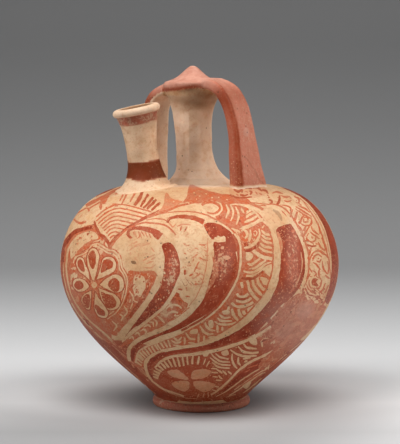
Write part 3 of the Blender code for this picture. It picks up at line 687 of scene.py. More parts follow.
def scale_fill(turn):
    """Groups of cream arcs on a red ground between the second and third arms."""
    patch([(222, 202), (236, 203.4), (250, 207.4), (260, 215), (268, 226), (274, 240), (276, 256), (274, 274),
        (267, 292), (256, 306), (243, 319), (222, 333), (200, 342), (176, 347), (156, 351), (146, 357),
        (144, 366), (134, 366), (136, 354), (146, 347), (166, 339), (186, 331), (203, 321), (218, 309),
        (230, 293), (239, 276), (242, 258), (240, 243), (234, 232), (226, 224.6), (216, 219), (217, 211)],
        LINE, turn)
    strokes([[(220.6, 217.6), (225.4, 214.4), (228.6, 209), (230, 203.6)],
        [(225.4, 222), (229, 217), (230.6, 211.4)], [(231.4, 214), (232.8, 219), (231, 225)]], 2.0,
        SLIP, turn)
    strokes([[(231.6, 205.4), (235, 211), (236.9, 217), (235.6, 223), (233.4, 227)],
        [(235, 205.6), (238.6, 209.6), (240, 213)]], 2.3, SLIP, turn)
    strokes([[(240.6, 214), (245, 213.4), (249, 211), (252, 209.6)],
        [(240.8, 218.4), (246, 217), (250.4, 214.2), (255, 212.6)],
        [(241.4, 222.4), (247.4, 221.2), (253, 218.4), (258, 215.6)]], 2.7, SLIP, turn)
    stroke([(239.4, 228), (246, 227.2), (252.4, 224.6), (258.4, 221), (263.4, 219.4)], (2.6, 3.6, 3.6, 3.4),
        SLIP, turn)
    strokes([[(230.6, 229.6), (236, 230.4), (239.4, 233.4)], [(230.6, 236.6), (236, 236.2), (241, 239.6)],
        [(252, 249), (257, 253.6), (264, 257.4), (273.6, 259)]], (2.8, 3.8, 3.8, 3.2), SLIP, turn)
    strokes([[(241.6, 231.4), (243.6, 230), (246.4, 232), (247, 235.6), (244.6, 238.4)],
        [(250.4, 229.6), (250.2, 236), (248.8, 241.6)], [(259, 228.6), (259.8, 234), (257.4, 239.4),
        (254, 244), (249, 247.2), (244, 248)]], 2.6, SLIP, turn)
    strokes([[(253.4, 232), (255.4, 230.6), (257, 232.8), (255.2, 235.6), (253.4, 233.4)],
        [(262.4, 228.4), (264.6, 225.6)], [(255, 238.6), (253.4, 241)]], 1.2, SLIP, turn)
    strokes([[(261.4, 230), (266, 234), (271.4, 235.2)], [(261.6, 234.8), (266, 238.2), (271.6, 239.2)],
        [(261.4, 239), (266, 242.2), (272, 243.2)], [(260.4, 243), (265, 246.6), (272.2, 247.8)],
        [(258.6, 247), (265, 251), (272.4, 252.6)]], 2.6, SLIP, turn)
    patch([(246, 252.2), (250, 252.2), (253.6, 256), (250.4, 260), (246.2, 259.8)], SLIP, turn)
    strokes([[(247.2, 263.4), (251, 264.6), (256, 261.8), (260, 258.4)],
        [(249.8, 268.8), (255, 268), (260.4, 264), (266, 260.6)],
        [(243.4, 271), (248.6, 272.8), (254.6, 271.8), (260, 268.6), (266, 264), (271.4, 262)]], 2.5,
        SLIP, turn)
    stroke([(246, 276), (252.4, 276), (258.4, 273.4), (264.4, 269), (272, 265.4)], (2.0, 2.8, 3.0, 3.0),
        SLIP, turn)
    patch([(264.2, 270.8), (272.6, 265.8), (274, 277.4), (268, 275.4)], SLIP, turn)
    patch([(260.4, 277.6), (264, 277), (269.4, 281.6), (268.6, 285.6), (263.4, 284)], SLIP, turn)
    strokes([[(257, 276.8), (258.6, 283), (262.6, 288.6), (265.6, 290.6)],
        [(252.4, 280), (254.6, 287), (259.2, 292.8), (263.4, 296)], [(247.4, 280.6), (250, 290), (254.6, 297),
        (260, 301)]], (2.6, 3.0, 3.2, 2.8), SLIP, turn)
    strokes([[(241.4, 282), (242.2, 288)], [(236.6, 293.6), (240, 296.8), (245, 296.4), (248.4, 293.8)],
        [(236, 300.4), (241.4, 302), (247.6, 300.6), (251.4, 298)],
        [(231.6, 302.6), (235, 305.6), (241.4, 306.8), (247.4, 305.2), (253.4, 302)],
        [(229, 306.6), (228, 311)]], (2.4, 2.8, 2.8, 2.2), SLIP, turn)
    patch([(246.8, 308.4), (252, 305.8), (257.6, 305), (252.4, 310.2), (249, 313.4)], SLIP, turn)
    strokes([[(243.4, 310.6), (245, 314), (249, 316.2)], [(238.4, 309), (240, 315), (244.8, 319.6)],
        [(231.8, 308.8), (234, 316), (239.4, 322)]], (2.4, 2.9, 3.0, 2.4), SLIP, turn)
    patch([(222.4, 311), (228.8, 309.8), (229.2, 314), (223.8, 314.6)], SLIP, turn)
    strokes([[(219.6, 314.4), (223.4, 317.6), (230.6, 317.2)], [(217.4, 318), (222, 321), (232, 320.8)],
        [(214.6, 321.4), (220.6, 324.4), (229, 324.4), (236, 322.4)],
        [(226.6, 329), (232, 327), (238.4, 324.6)]], 2.3, SLIP, turn)
    patch([(208.4, 321), (212.8, 320.4), (213.2, 327.4), (209.6, 327.6)], SLIP, turn)
    strokes([[(204.2, 321.4), (206.6, 326.4), (211, 330), (215.4, 330.6)],
        [(200, 325.4), (203, 331), (208, 334.2), (213.4, 333.8)], [(217.2, 324.8), (217.6, 333.4)],
        [(222.2, 326.6), (222.8, 332)], [(208.4, 337.6), (215.4, 337.4)]], 2.4, SLIP, turn)
    patch([(190, 330.6), (196.8, 328.8), (197.4, 333), (191.6, 333.8)], SLIP, turn)
    strokes([[(186, 332.8), (189.6, 338), (195.4, 339.6)], [(198.8, 333.6), (198.6, 342.6)],
        [(204, 335.8), (204, 342)], [(184.8, 337.6), (184.6, 344.4)], [(188, 342.8), (195.4, 343.6)],
        [(173.6, 337.6), (178, 340), (182, 337)], [(171, 340), (176, 343), (181.4, 341.6)],
        [(173.6, 345), (179, 346.4), (184, 347)]], 2.1, SLIP, turn)
    hatch([(169, 339.6), (159, 343), (150.6, 346.4), (142, 350.6), (137, 355.6), (134.6, 363)],
        [(172, 346.8), (163, 348.6), (154, 352.6), (147.6, 356.4), (143, 360.8), (141.4, 367)], 14, 1.8,
        SLIP, turn)
    patch([(242.6, 244.6), (246, 242), (250, 242.2), (249.4, 245), (246, 246.8), (243, 246.6)], DARK, turn)
    strokes([[(242.6, 250), (248, 250.6), (253, 248.6), (257.6, 245.6), (258.6, 242.4)]],
        (2.2, 3.0, 3.2, 2.2), DARK, turn)
    strokes([[(241.6, 278), (247, 279), (253, 278.4), (258, 275), (263.4, 270.6)],
        [(235, 297.6), (241.6, 299.4), (248, 298)]], (1.8, 2.8, 2.6, 1.4), RED, turn)
    dots([(241.6, 293.8)], 1.3, RED, turn)
    patch([(236.6, 226.4), (239.6, 224.8), (238.4, 228), (234.6, 228.4)], RED, turn)


def chevron_fill(turn):
    """The narrow band of hooked strokes between the first and second arms, worn away above."""
    patch([(176, 291), (182, 300), (188, 304), (184, 311), (172, 320), (156, 329), (140, 336), (126, 345),
        (120, 347), (133, 333), (150, 319), (163, 309), (171, 300)], LINE, turn)
    stroke([(190, 308), (178, 318), (164, 326), (150, 332), (136, 338), (126, 346)], (3.0, 1.2), LINE, turn)
    strokes([[(161, 312.6), (166, 315.4), (168.4, 313.4)], [(157.4, 315.6), (162, 320), (164.6, 323)],
        [(153.4, 318.6), (157, 322), (156, 326.4)], [(149, 322), (153, 322.6), (153.6, 327)],
        [(143.6, 327.4), (147.4, 325), (151, 326.8)], [(140, 331), (143.6, 329.4), (146.4, 331.6),
        (145, 334)], [(134.6, 334.6), (138, 332.6), (140, 336)], [(129, 339), (132, 337), (134, 339.4)]], 1.9,
        SLIP, turn, 3)
    strokes([[(160, 305.6), (165, 302.6), (170.4, 304), (172, 308.4)],
        [(166, 309), (170.6, 305.4), (177, 305), (181.6, 308.4)], [(168, 313.4), (173.6, 311.6), (178, 313)],
        [(174, 315.6), (178.6, 315)]], 2.1, SLIP, turn)
    strokes([[(171, 299), (176, 298.4)], [(174.6, 292.6), (179.6, 294.6)], [(178.6, 300), (181.6, 303)]], 2.2,
        RED, turn, 3)
    strokes([[(199, 244), (203, 245), (208, 243.6)], [(190, 253), (194, 249), (197.4, 248)],
        [(191, 258.4), (195, 256), (198, 254)], [(204, 250), (207, 251.4), (208, 247.6)],
        [(187, 266), (191.4, 265.4)], [(192, 279), (197, 276), (201.4, 273)],
        [(199, 273), (204, 276), (203, 280)], [(195, 283), (200, 284.4), (204.6, 281.4)],
        [(205, 255), (208.6, 256)], [(186, 236), (189, 233)], [(196, 268), (201, 269.6)],
        [(182, 302), (184, 307), (188.4, 309.4), (192.4, 308)], [(183.6, 243), (187, 246.4)],
        [(201, 286), (205.6, 288)]], 1.7, WASH, turn, 3)
    strokes([[(199.4, 257.4), (203, 259.8), (208, 260.4)], [(194, 272), (197, 266), (199.4, 261.6)],
        [(189, 276), (193.4, 274)], [(192.4, 262), (194, 258.6)], [(176, 315), (180.6, 313), (183.4, 316)],
        [(185.4, 296), (190, 297)], [(187, 291), (186, 287)]], 1.7, LINE, turn, 3)
    strokes([[(182, 281), (185, 286), (187.4, 284)], [(186.4, 279), (189.4, 284)],
        [(191, 281.6), (193.6, 285)]], 0.8, (0.5, 0.3, 0.25), turn, 3)
    strokes([[(177.6, 289), (182.4, 290)], [(173.6, 295), (180, 296.4)], [(169.6, 300), (176, 301.4)]],
        (1.0, 2.4, 1.2), RED, turn, 3)
    patch([(183.4, 270.4), (186, 270), (186.2, 273.4), (184.4, 275)], RED, turn)
    strokes([[(129.4, 250.6), (132, 248), (138, 246), (145, 245), (151, 242.6)],
        [(133, 243.6), (137.4, 241.4)], [(131.4, 252), (129, 255)], [(143, 254.4), (147.6, 253.6)],
        [(140.6, 262), (148, 258), (155, 254.4)], [(151, 259.6), (155.6, 257)], [(146, 264), (153.6, 261)],
        [(151, 247), (154.4, 252)], [(142.4, 267), (150, 268), (156, 264.6)]], 1.5, (0.55, 0.0), turn, 3)
    strokes([[(138, 231), (139.4, 236), (137, 238.6)], [(141, 231), (144, 236)],
        [(144.6, 231.6), (147.6, 237.6)], [(148.4, 233), (151, 238)], [(133, 231.6), (134.6, 235.4)]], 1.3,
        LINE, turn, 3)
    patch([(131, 261), (134.4, 261), (136.6, 263), (134, 264.6), (132, 263.4)], (0.0, 0.0, 0.8), turn)


def maze_fill(turn):
    """Nested hooks in red line on cream, between the third arm and the dark band at the right edge."""
    further = turn + math.radians(14)
    patch([(258, 190), (280, 190), (300, 196), (312, 210), (322, 228), (329, 246), (332, 262), (333, 280),
        (331, 294), (326, 306), (319, 316), (312, 324), (314, 308), (306, 299), (299, 291), (303.6, 282),
        (306.4, 270), (306.8, 257), (304.2, 246), (299, 234.4), (290.9, 221.6), (279.9, 212), (271, 207.4),
        (258, 203)], SLIP, turn)
    strokes([[(279.6, 195.6), (279.2, 200.6), (277, 204.6)], [(269, 199.4), (271.6, 201.4), (270.4, 204.4)]],
        (1.4, 2.6, 2.2), RED, turn)
    strokes([[(281, 195.4), (286, 197), (290, 196)], [(259, 205.6), (265, 206), (269, 208.4)],
        [(282, 205), (287, 205.6), (290.6, 208.6), (290.8, 213)], [(292.8, 209.4), (291, 214.6), (289, 219)],
        [(280.6, 209.4), (285, 213.6), (289.4, 218.6)], [(284, 200.6), (288, 201.6), (291.6, 200)],
        [(294, 196.6), (298.6, 199), (299, 204)], [(272, 193), (277, 192), (283, 193.4)]], 1.8, LINE, turn)
    strokes([[(297.4, 211.6), (295.8, 217), (293.8, 221.4)], [(303, 216.4), (300.6, 221), (298.6, 223.6)]],
        (1.8, 2.6, 2.2), LINE, turn)
    strokes([[(296, 207), (303.6, 211.6), (311.6, 216.4)], [(296.6, 210), (304, 214.6), (311.4, 219)],
        [(298, 205.4), (305, 208.6), (310, 212.6)]], 1.8, LINE, turn)
    strokes([[(303.6, 217.4), (307.4, 217.6), (307.6, 221.4), (304, 222), (303.4, 218.6)],
        [(310.6, 217.6), (311.6, 222), (309.6, 225.4), (304.6, 225.6), (300, 223)]], 2.0, LINE, turn)
    strokes([[(309.4, 226.4), (306, 231.4), (302.4, 237.4)], [(297.4, 224.6), (301.4, 229.6), (301.6, 236)],
        [(306.4, 226), (303.6, 231)]], (1.4, 2.2, 2.0), LINE, turn)
    strokes([[(311.4, 226), (313.4, 230.6), (319, 235)], [(318, 223), (319.6, 229), (320, 234)],
        [(310, 232), (315.4, 236), (319.6, 239)], [(308.6, 233), (306.6, 238.6), (311, 241.8), (315.4, 240),
        (316, 235.6)], [(311.6, 236.4), (312.8, 238.6)]], 1.8, LINE, turn)
    strokes([[(303, 241), (306.6, 241.4)], [(305.6, 243.6), (310.6, 246.2), (316.4, 246)]], 2.1, RED, turn, 3)
    strokes([[(318, 242), (320.6, 247.4), (325.6, 250.8)], [(321.4, 237.6), (324.4, 243.6), (325.8, 250)],
        [(311.4, 247.4), (309.6, 253), (307.6, 259)]], 1.9, LINE, turn)
    strokes([[(309.6, 264), (310.6, 257), (315, 251.6), (320.4, 251), (325, 254.6), (328.6, 258.4)],
        [(312.8, 261), (314.4, 256.4), (318, 254.6), (321.6, 257)],
        [(317.4, 249), (323, 253.4), (328.4, 256)], [(313, 262), (317, 265.4), (320.6, 269.6)],
        [(308, 263), (308.8, 268), (312.6, 272.4)], [(316.4, 260.6), (319.4, 261.6), (321, 259)]], 1.8,
        LINE, turn)
    strokes([[(322.6, 261), (323.2, 268), (327.6, 274.4)], [(327.4, 261), (328.6, 268), (328, 274)],
        [(320, 268), (318.6, 274), (321, 280)], [(312, 270), (316, 273.6), (314.6, 276.6)],
        [(306.4, 277.4), (310.6, 274)]], 1.8, LINE, turn)
    patch([(306, 275.4), (309.4, 274.8), (308.4, 278.6), (306, 278.8)], RED, turn)
    patch([(311.2, 281.6), (314, 278), (317.6, 279), (316.4, 282), (318.4, 286), (315, 286.4), (312, 284.4)],
        RED, turn)
    strokes([[(308.8, 280), (309.8, 286.6), (315, 289.4), (320, 286.6), (322, 280)],
        [(307, 284), (309, 290), (315.6, 293.4), (322, 290.4), (325.4, 283)],
        [(305, 288.6), (309.6, 294.4), (316.4, 297), (323.6, 294.6), (328.4, 285)],
        [(325, 275), (329.6, 279)]], 2.0, LINE, turn)
    patch([(300.8, 291), (303, 289.8), (305, 292.6), (303, 294.6)], RED, turn)
    patch([(315, 296.4), (319, 294.8), (320.6, 297.6), (317, 299.6)], RED, turn)
    strokes([[(309, 298), (313, 302), (314, 307)], [(323.6, 298.4), (319, 303.6), (316.4, 309.4)],
        [(327.6, 297), (323, 304), (318.4, 312)], [(311, 303), (315, 306)], [(318, 300.4), (321.6, 302)]],
        1.9, LINE, turn)
    strokes([[(300, 198), (307, 206.4), (313.4, 216.4), (318.6, 226), (322, 235.6), (325.8, 247),
        (328.6, 258.6), (330.4, 271), (330.4, 284)]], 1.3, LINE, turn)
    smudge([(262, 194), (278, 193), (292, 196), (302, 206), (312, 222), (320, 240), (324, 258), (324, 276),
        (318, 292), (308, 290), (309, 272), (309, 256), (302, 236), (290, 216), (276, 203)], 70,
        (LINE, WASH, (0.9, 0.3), FAINT), turn, 0.4, 3.6, 1.1)
    smudge([(300, 292), (312, 296), (324, 290), (322, 304), (314, 312), (306, 306)], 24,
        (LINE, RED, SLIP), turn, -0.4, 4.0, 1.5)
    patch([(281, 190), (293, 198), (303, 211), (311, 228), (315, 246), (316.4, 262), (315.6, 278), (313, 292),
        (309, 304), (318, 308), (327, 294), (332, 278), (333, 262), (332, 248), (327, 232), (316, 212),
        (301, 196.6), (288, 188)], DARK, further)
    stroke([(296, 189.6), (308, 199), (318, 213), (325.6, 229), (329, 240)], (2.4, 2.8, 2.0, 0.8), SLIP,
        further)
    stroke([(284, 197), (294, 204), (302, 215), (308.6, 230), (312.4, 246), (313.6, 262), (313, 277)],
        (0.8, 1.0, 0.8), LINE, further)


def worn_red(turn):
    """The plain area on the lower right, where the ornament is rubbed down to a red ground."""
    rubbed = [(299, 293), (307, 298), (313, 303), (320, 305), (326, 307), (320, 319), (310, 330), (298, 342),
        (287, 353), (276, 363), (266, 370), (258, 368), (262, 360), (270, 352.4), (276, 347), (266, 344),
        (260, 340), (255, 334), (266, 325), (276, 314), (285, 304)]
    patch(rubbed, (0.92, 0.30), turn)
    smudge(rubbed, 150, ((0.86, 0.05), (0.95, 0.45), (0.78, 0.0), (1.0, 0.62), (0.9, 0.2), (0.66, 0.0)), turn)
    smudge([(292, 303), (306, 300), (322, 305), (318, 318), (304, 332), (290, 338), (278, 350), (274, 338),
        (284, 320)], 40, ((0.72, 0.0), (0.8, 0.1), (0.66, 0.0)), turn, -0.7, 13.0, 3.6)
    smudge([(282, 306), (300, 292), (308, 299), (288, 316), (270, 334), (256, 338), (266, 324)], 44,
        (DARK, RED, (0.9, 0.6), (0.8, 0.2), (0.6, 0.0)), turn, -0.8, 7.0, 2.2)
    smudge([(296, 289), (308, 300), (327, 300), (330, 290), (318, 286)], 44, (LINE, SLIP, RED, SLIP), turn,
        0.9, 6.0, 1.6)
    smudge([(254, 330), (260, 342), (286, 350), (280, 360), (262, 372), (258, 384), (266, 372), (290, 352)],
        30, (LINE, RED, SLIP, DARK), turn, -0.6, 8.0, 1.3)


def base_rings(turn):
    """The bands round the foot of the body, the hatched ring, and the flower of four petals."""
    patch([(96, 338), (112, 344), (124, 347), (130, 358), (140, 367), (146, 357), (166, 352), (190, 350),
        (222, 344), (250, 337), (262, 337), (284, 344), (281, 356), (268, 370), (258, 382), (251, 393),
        (240, 397), (222, 400), (200, 402), (176, 400), (158, 396), (140, 380), (120, 362)], RED, turn)
    patch([(62, 270), (66, 290), (76, 312), (92, 332), (110, 350), (130, 368), (146, 384), (158, 397),
        (148, 392), (128, 376), (108, 358), (90, 340), (74, 318), (62, 294)], (1.0, 0.7), turn)
    patch([(112, 347), (122, 355), (134, 367), (148, 381), (160, 390), (172, 396), (166, 399), (152, 392),
        (136, 377), (120, 362), (108, 350)], (1.0, 0.8), turn)
    outer = [(153, 378), (153.4, 372), (156.4, 366.6), (162, 361.6), (170, 358), (180, 357), (190, 356),
        (202, 356.4)]
    inner = [(158, 379.4), (159.4, 375), (162.4, 371), (167.4, 368), (174, 367), (182, 366.4), (190, 364.4),
        (200, 364.4)]
    hatch(inner, outer, 14, 2.0, SLIP, turn)
    strokes([[(205.6, 358.6), (203.4, 364.6)], [(209.6, 361), (206.4, 366.6)], [(211, 368.6), (217.4, 369)],
        [(211.4, 372.4), (218, 372.8)], [(212.6, 376.4), (218, 377)], [(216, 380.4), (221.6, 380.4)],
        [(214.6, 386), (219, 387)], [(212, 389.6), (216, 391)]], 1.5, SLIP, turn, 2)
    for petal in (
        [(167.4, 371.9), (173.6, 369.4), (179.7, 370.8), (185.8, 376.1), (188.5, 379.6), (181.2, 379),
            (172, 376.6)],
        [(191.2, 377.2), (192.7, 371.7), (200.3, 369), (209.5, 369.8), (210.5, 373.4), (204.2, 377.9),
            (193.5, 379.6)],
        [(171.4, 383), (181, 380.8), (187.6, 381.1), (189.8, 384.7), (187.6, 390), (183.3, 391.4),
            (175, 388)],
        [(193.5, 381.5), (202.6, 381.2), (214.4, 384), (213.3, 387.8), (205.7, 392.2), (198.4, 390.2),
            (194, 385.5)],
    ):
        patch(petal, (0.50, 0.06), turn, steps=4)
    strokes([[(112, 345), (120, 352), (135.3, 365), (146.8, 376.5), (158.3, 385.7), (169.7, 393),
        (185, 397.8), (198, 399)], [(104, 345), (121, 362), (136, 376), (149, 388.6), (156, 394)],
        [(127, 348), (133, 358.6), (142, 369.6), (152, 380.6), (164, 389.4), (178, 395)]], 1.1,
        (0.6, 0.1), turn)
    smudge([(70, 300), (92, 330), (116, 352), (150, 384), (168, 397), (176, 399), (150, 374), (134, 354),
        (120, 345), (96, 330)], 50, (RED, LINE, (0.9, 0.3), (0.7, 0.0), DARK), turn, 0.8, 9.0, 1.3)
    patch([(249.6, 340), (256, 338.4), (257, 344.4), (251.4, 344)], SLIP, turn)
    strokes([[(243.4, 343.6), (247.6, 347.8), (256.8, 348.6)], [(238, 346.4), (243.4, 351.6), (251, 353),
        (258.6, 352.2)], [(230.4, 349.6), (237, 354.2), (246, 356.4), (256.6, 355.8)]], 2.4, SLIP, turn)
    strokes([[(261.4, 338), (262.6, 347)], [(266.6, 337.6), (267.4, 345)], [(271.4, 339), (271.6, 344.6)]],
        2.2, SLIP, turn)
    patch([(203, 354), (205.4, 351.6), (209.4, 352), (208, 355.8), (204, 356.4)], (0.0, 0.0), turn)
    patch([(221.4, 351.6), (228, 350.4), (228.4, 355), (223, 355.4)], (0.18, 0.0), turn)
    strokes([[(215.6, 353.4), (220.6, 357.4), (228.6, 359)], [(210.6, 353), (216, 358.6), (222, 361.6),
        (230, 362)], [(210, 357.6), (216, 362.4), (224, 365), (230.6, 365)],
        [(212, 362.6), (218.4, 367), (229.6, 368.4)], [(216.6, 369.6), (222.4, 373.4)],
        [(222.6, 370.4), (226.6, 375)], [(228, 371), (231.4, 374.6)], [(218.4, 375.4), (222.4, 379)]], 1.9,
        SLIP, turn)
    strokes([[(232.2, 353.6), (232.2, 360), (234.6, 365.6), (237.4, 368.4)],
        [(238.6, 357), (238, 362), (240.4, 365.6)], [(243, 358.8), (250.6, 357.8)],
        [(244, 362), (247.6, 361)]], 2.1, SLIP, turn)
    stroke([(283.6, 345.6), (267.3, 354.2), (255, 359.4), (247, 364.2), (240, 369.4), (233, 376.2),
        (226, 383.6), (219, 389.4), (211, 395)], (2.6, 2.4, 2.2, 1.8), SLIP, turn)
    patch([(284, 348.6), (270, 356.6), (256, 362), (245, 369.2), (234, 379.2), (224, 388.6), (214, 396.4),
        (224, 392), (235, 384.4), (244, 377.6), (254, 371.4), (266, 364.6), (278, 356)], DARK, turn)
    strokes([[(247, 368.4), (252, 366.6), (258, 364.4)], [(262, 360.6), (268, 357.6)],
        [(244.6, 372.4), (250, 369.4)]], 1.4, LINE, turn)
    strokes([[(279, 356.6), (264, 366.6), (252, 373.2), (243, 379), (235, 385), (226, 391.4), (216, 396.6)],
        [(272, 365), (258, 373.6), (246, 382), (234, 390)], [(262, 378), (252, 386.4), (243, 393)],
        [(264, 371), (252, 380), (238, 390), (229, 395.6)]], 1.3, SLIP, turn)
    patch([(243.4, 384), (248, 380.6), (251, 382.6), (247.6, 388.6), (243.4, 388)], SLIP, turn)
    strokes([[(268, 368.6), (254, 377), (240, 386.6)], [(262, 374.6), (256, 378)]], 1.2, LINE, turn)
    strokes([[(226, 397.4), (236, 394)], [(204, 393), (203, 397)], [(208, 392.6), (208.4, 397)],
        [(199, 393.6), (197.4, 397.6)]], 1.2, FAINT, turn)


def losses(turn):
    """Small losses and rubbed spots in the arms."""
    patch([(215, 237), (219, 237.5), (222, 236.5), (224.5, 236), (226, 239), (225, 241.5), (219, 242),
        (215.5, 239.5)], SLIP, turn)
    patch([(223.5, 256), (228, 255.6), (230.4, 258), (227, 260), (224, 259)], (0.5, 0.0), turn)
    arm = [(163, 250), (172, 248), (179, 262), (178, 278), (172, 292), (160, 304), (156, 296), (162, 280),
        (164, 264)]
    smudge(arm, 46, ((0.35, 0.0), (0.6, 0.05), SLIP, (0.8, 0.4), RED), turn, -1.2, 3.0, 1.5)
    arm = [(214, 244), (224, 242), (228, 256), (226, 272), (218, 288), (208, 292), (211, 276), (214, 260)]
    smudge(arm, 40, ((0.45, 0.0), (0.8, 0.1), (0.8, 0.4), RED), turn, -1.2, 4.0, 1.6)
    smudge([(226, 232), (236, 250), (238, 268), (228, 290), (208, 310), (190, 320), (206, 300), (220, 280),
        (230, 262)], 34, ((0.9, 0.45), (0.8, 0.5), RED), turn, -1.0, 5.0, 1.0)
    smudge([(279, 232), (292, 228), (302, 246), (303, 268), (296, 288), (280, 304), (276, 296), (282, 272),
        (283, 250)], 60, ((0.9, 0.45), (0.8, 0.4), RED, (0.7, 0.2)), turn, -1.1, 4.0, 1.1)


def front():
    """The whole picture side, from the ground up to the last stripes."""
    for motif in (left_edge, base_rings, rust_field, scale_fill, chevron_fill, fan, fringe, maze_fill,
                  shoulder_zone, worn_red, tentacles, lower_arm, losses, chip, rosette):
        motif(CAMERA_TURN)


def rear():
    """The hidden side, in keeping and plainer."""
    for aside in (CAMERA_TURN + 0.5 * math.pi, CAMERA_TURN - 0.5 * math.pi):
        patch([(96, 336), (150, 350), (200, 354), (250, 350), (304, 336), (288, 362), (264, 386), (240, 400),
            (200, 403), (160, 400), (136, 386), (112, 362)], RED, aside)
        patch([(120, 205), (160, 198), (200, 196), (240, 198), (280, 205), (250, 206), (200, 203),
            (150, 206)], LINE, aside)
        lower_arm(aside)
    for motif in (left_edge, rosette, base_rings, rust_field, scale_fill, chevron_fill, fan, maze_fill,
                  shoulder_zone, worn_red, tentacles, lower_arm):
        motif(CAMERA_TURN + math.pi)


rear()
front()

# The layers that the mesh carries; the last holds dirt and painted shade together
LAYERS = ("thin", "thick", "faded", "bare", "grime")


class Shell:
    """One surface of the jar: its vertices and faces, and the paint, wear, dirt and painted shade that they
    carry.
    """

    def __init__(self, vertices, faces, normals=None):
        self.vertices = np.array([tuple(v) for v in vertices], dtype=float)
        self.faces = faces
        self.normals = normals
        self.paint = {name: np.zeros(len(self.vertices)) for name in LAYERS}
        self.by_face = {}

    def carry(self, at, **amounts):
        """Sets what one vertex carries."""
        for name, amount in amounts.items():
            self.paint[name][at] = amount


# Above this height the body is cut open under the neck and the spout, by this much more than their bores
HOLES_ABOVE = 0.16
HOLE_MARGIN = 0.001


def body_shell():
    """The painted body: every brush mark has its own patches in the mesh."""
    near = KDTree(len(flat_points))
    for index, (x, y) in enumerate(flat_points):
        near.insert((x, y, 0.0), index)
    near.balance()
    points = list(flat_points)
    along, ring = 0.5 * PLAIN_SPACING, 0
    while along < ALONG[-1]:
        edge = along + PLAIN_SPACING > ALONG[-1]
        along = ALONG[-1] if edge else along
        reach = FLAT_SCALE * math.exp(np.interp(along, ALONG, SPREAD))
        radius = np.interp(along, ALONG, OUTLINE[:, 0])
        count = JOIN_SEGMENTS if edge else max(6, round(2 * math.pi * radius / PLAIN_SPACING))
        apart = 2 * math.pi * reach / count
        for index in range(count):
            angle = 2 * math.pi * (index + 0.5 * (ring % 2) * (not edge)) / count
            place = (reach * math.cos(angle), reach * math.sin(angle))
            if edge or near.find((*place, 0.0))[2] > 0.30 * apart:
                points.append(place)
        along += PLAIN_SPACING
        ring += 1
    found = delaunay_2d_cdt([Vector(point) for point in points], [], flat_faces, 0, 1e-5, True)
    places, normals = unflatten(np.array([tuple(v) for v in found[0]]))
    mark = [max((face_marks[index] for index in origins), default=0) for origins in found[5]]
    spout_foot = spout_middle(0.0)
    kept = []
    for face, number in zip(found[2], mark):
        middle = places[list(face)].mean(axis=0)
        from_spout = math.hypot(middle[0] - spout_foot.x, middle[1] - spout_foot.y)
        in_neck = math.hypot(middle[0], middle[1]) < NECK_BORE + HOLE_MARGIN
        in_hole = in_neck or from_spout < SPOUT_BORE + HOLE_MARGIN
        if not (in_hole and middle[2] > HOLES_ABOVE):
            kept.append((tuple(face), marks[number]))
    shell = Shell(places, [face for face, _ in kept], normals)
    shell.by_face["thin"] = [paint[0] for _, paint in kept]
    shell.by_face["thick"] = [paint[1] for _, paint in kept]
    shell.by_face["grime"] = [sum(paint[2:]) for _, paint in kept]
    return shell


def spread_tube(share, waist, base_flare, top_flare, spread):
    """The radius of a waisted tube at a share of its height."""
    base = base_flare * max(0.0, 1 - share) ** spread[0]
    top = top_flare * max(0.0, share) ** spread[1]
    return waist + base + top


def towards(bearing):
    """The level direction of a bearing, from the front round to the left."""
    return Vector((-math.sin(bearing), -math.cos(bearing), 0.0))


def spout_middle(share):
    """The middle of the spout at a share of its height."""
    lean = towards(SPOUT_LEAN_BEARING) * math.tan(SPOUT_LEAN)
    foot = towards(SPOUT_BEARING) * SPOUT_DISTANCE
    foot.z = shoulder_height(SPOUT_DISTANCE)
    return foot + (lean + UP) * SPOUT_HEIGHT * share


def round_points(radius, segments):
    """Points of a level circle about the origin."""
    angles = [2 * math.pi * index / segments for index in range(segments)]
    return [Vector((radius * math.cos(angle), radius * math.sin(angle), 0.0)) for angle in angles]


def loft(rings, first_closed=False, last_closed=False):
    """Vertices and faces through rings of equal count, in order."""
    count = len(rings[0])
    vertices = [point for ring in rings for point in ring]
    faces = []
    for ring in range(len(rings) - 1):
        for index in range(count):
            a, b = ring * count + index, ring * count + (index + 1) % count
            faces.append((a, b, b + count, a + count))
    if first_closed:
        faces.append(tuple(range(count))[::-1])
    if last_closed:
        faces.append(tuple(range((len(rings) - 1) * count, len(rings) * count)))
    return vertices, faces


def uneven(point, amount, scale, seed):
    """A small bulge or hollow of hand-shaped clay."""
    return amount * noise.noise(Vector(point) * scale + Vector((seed, seed * 0.7, -seed)))


# The spout's skirt on the shoulder: radius and height over the shoulder, from outside in
SPOUT_SKIRT = ((0.0262, -0.0010), (0.0240, -0.0002), (0.0222, 0.0003), (0.0205, 0.0009))
SPOUT_FIRST_SHARE = 0.02
SPOUT_STEPS = 44
BORE_STEPS = 15
LIP_DEGREES = range(-50, 100, 10)

# The inner edge of the mouth: radius over that of the mouth, and height over the lip
MOUTH_EDGE = ((0.0004, -0.0003), (0.0, -0.0012), (-0.0006, -0.003), (-0.0014, -0.006), (-0.0022, -0.010))

# The painted bands of the spout: lower and upper edge as shares of its height, and how soft the edges are
LOWER_BAND = (0.100, 0.315, 0.012)
UPPER_BAND = (0.800, 0.918, 0.014)


def spout_radius(share):
    """The outer radius of the spout at a share of its height."""
    return spread_tube(share, SPOUT_WAIST, SPOUT_BASE_FLARE, SPOUT_LIP_FLARE, SPOUT_SPREAD)


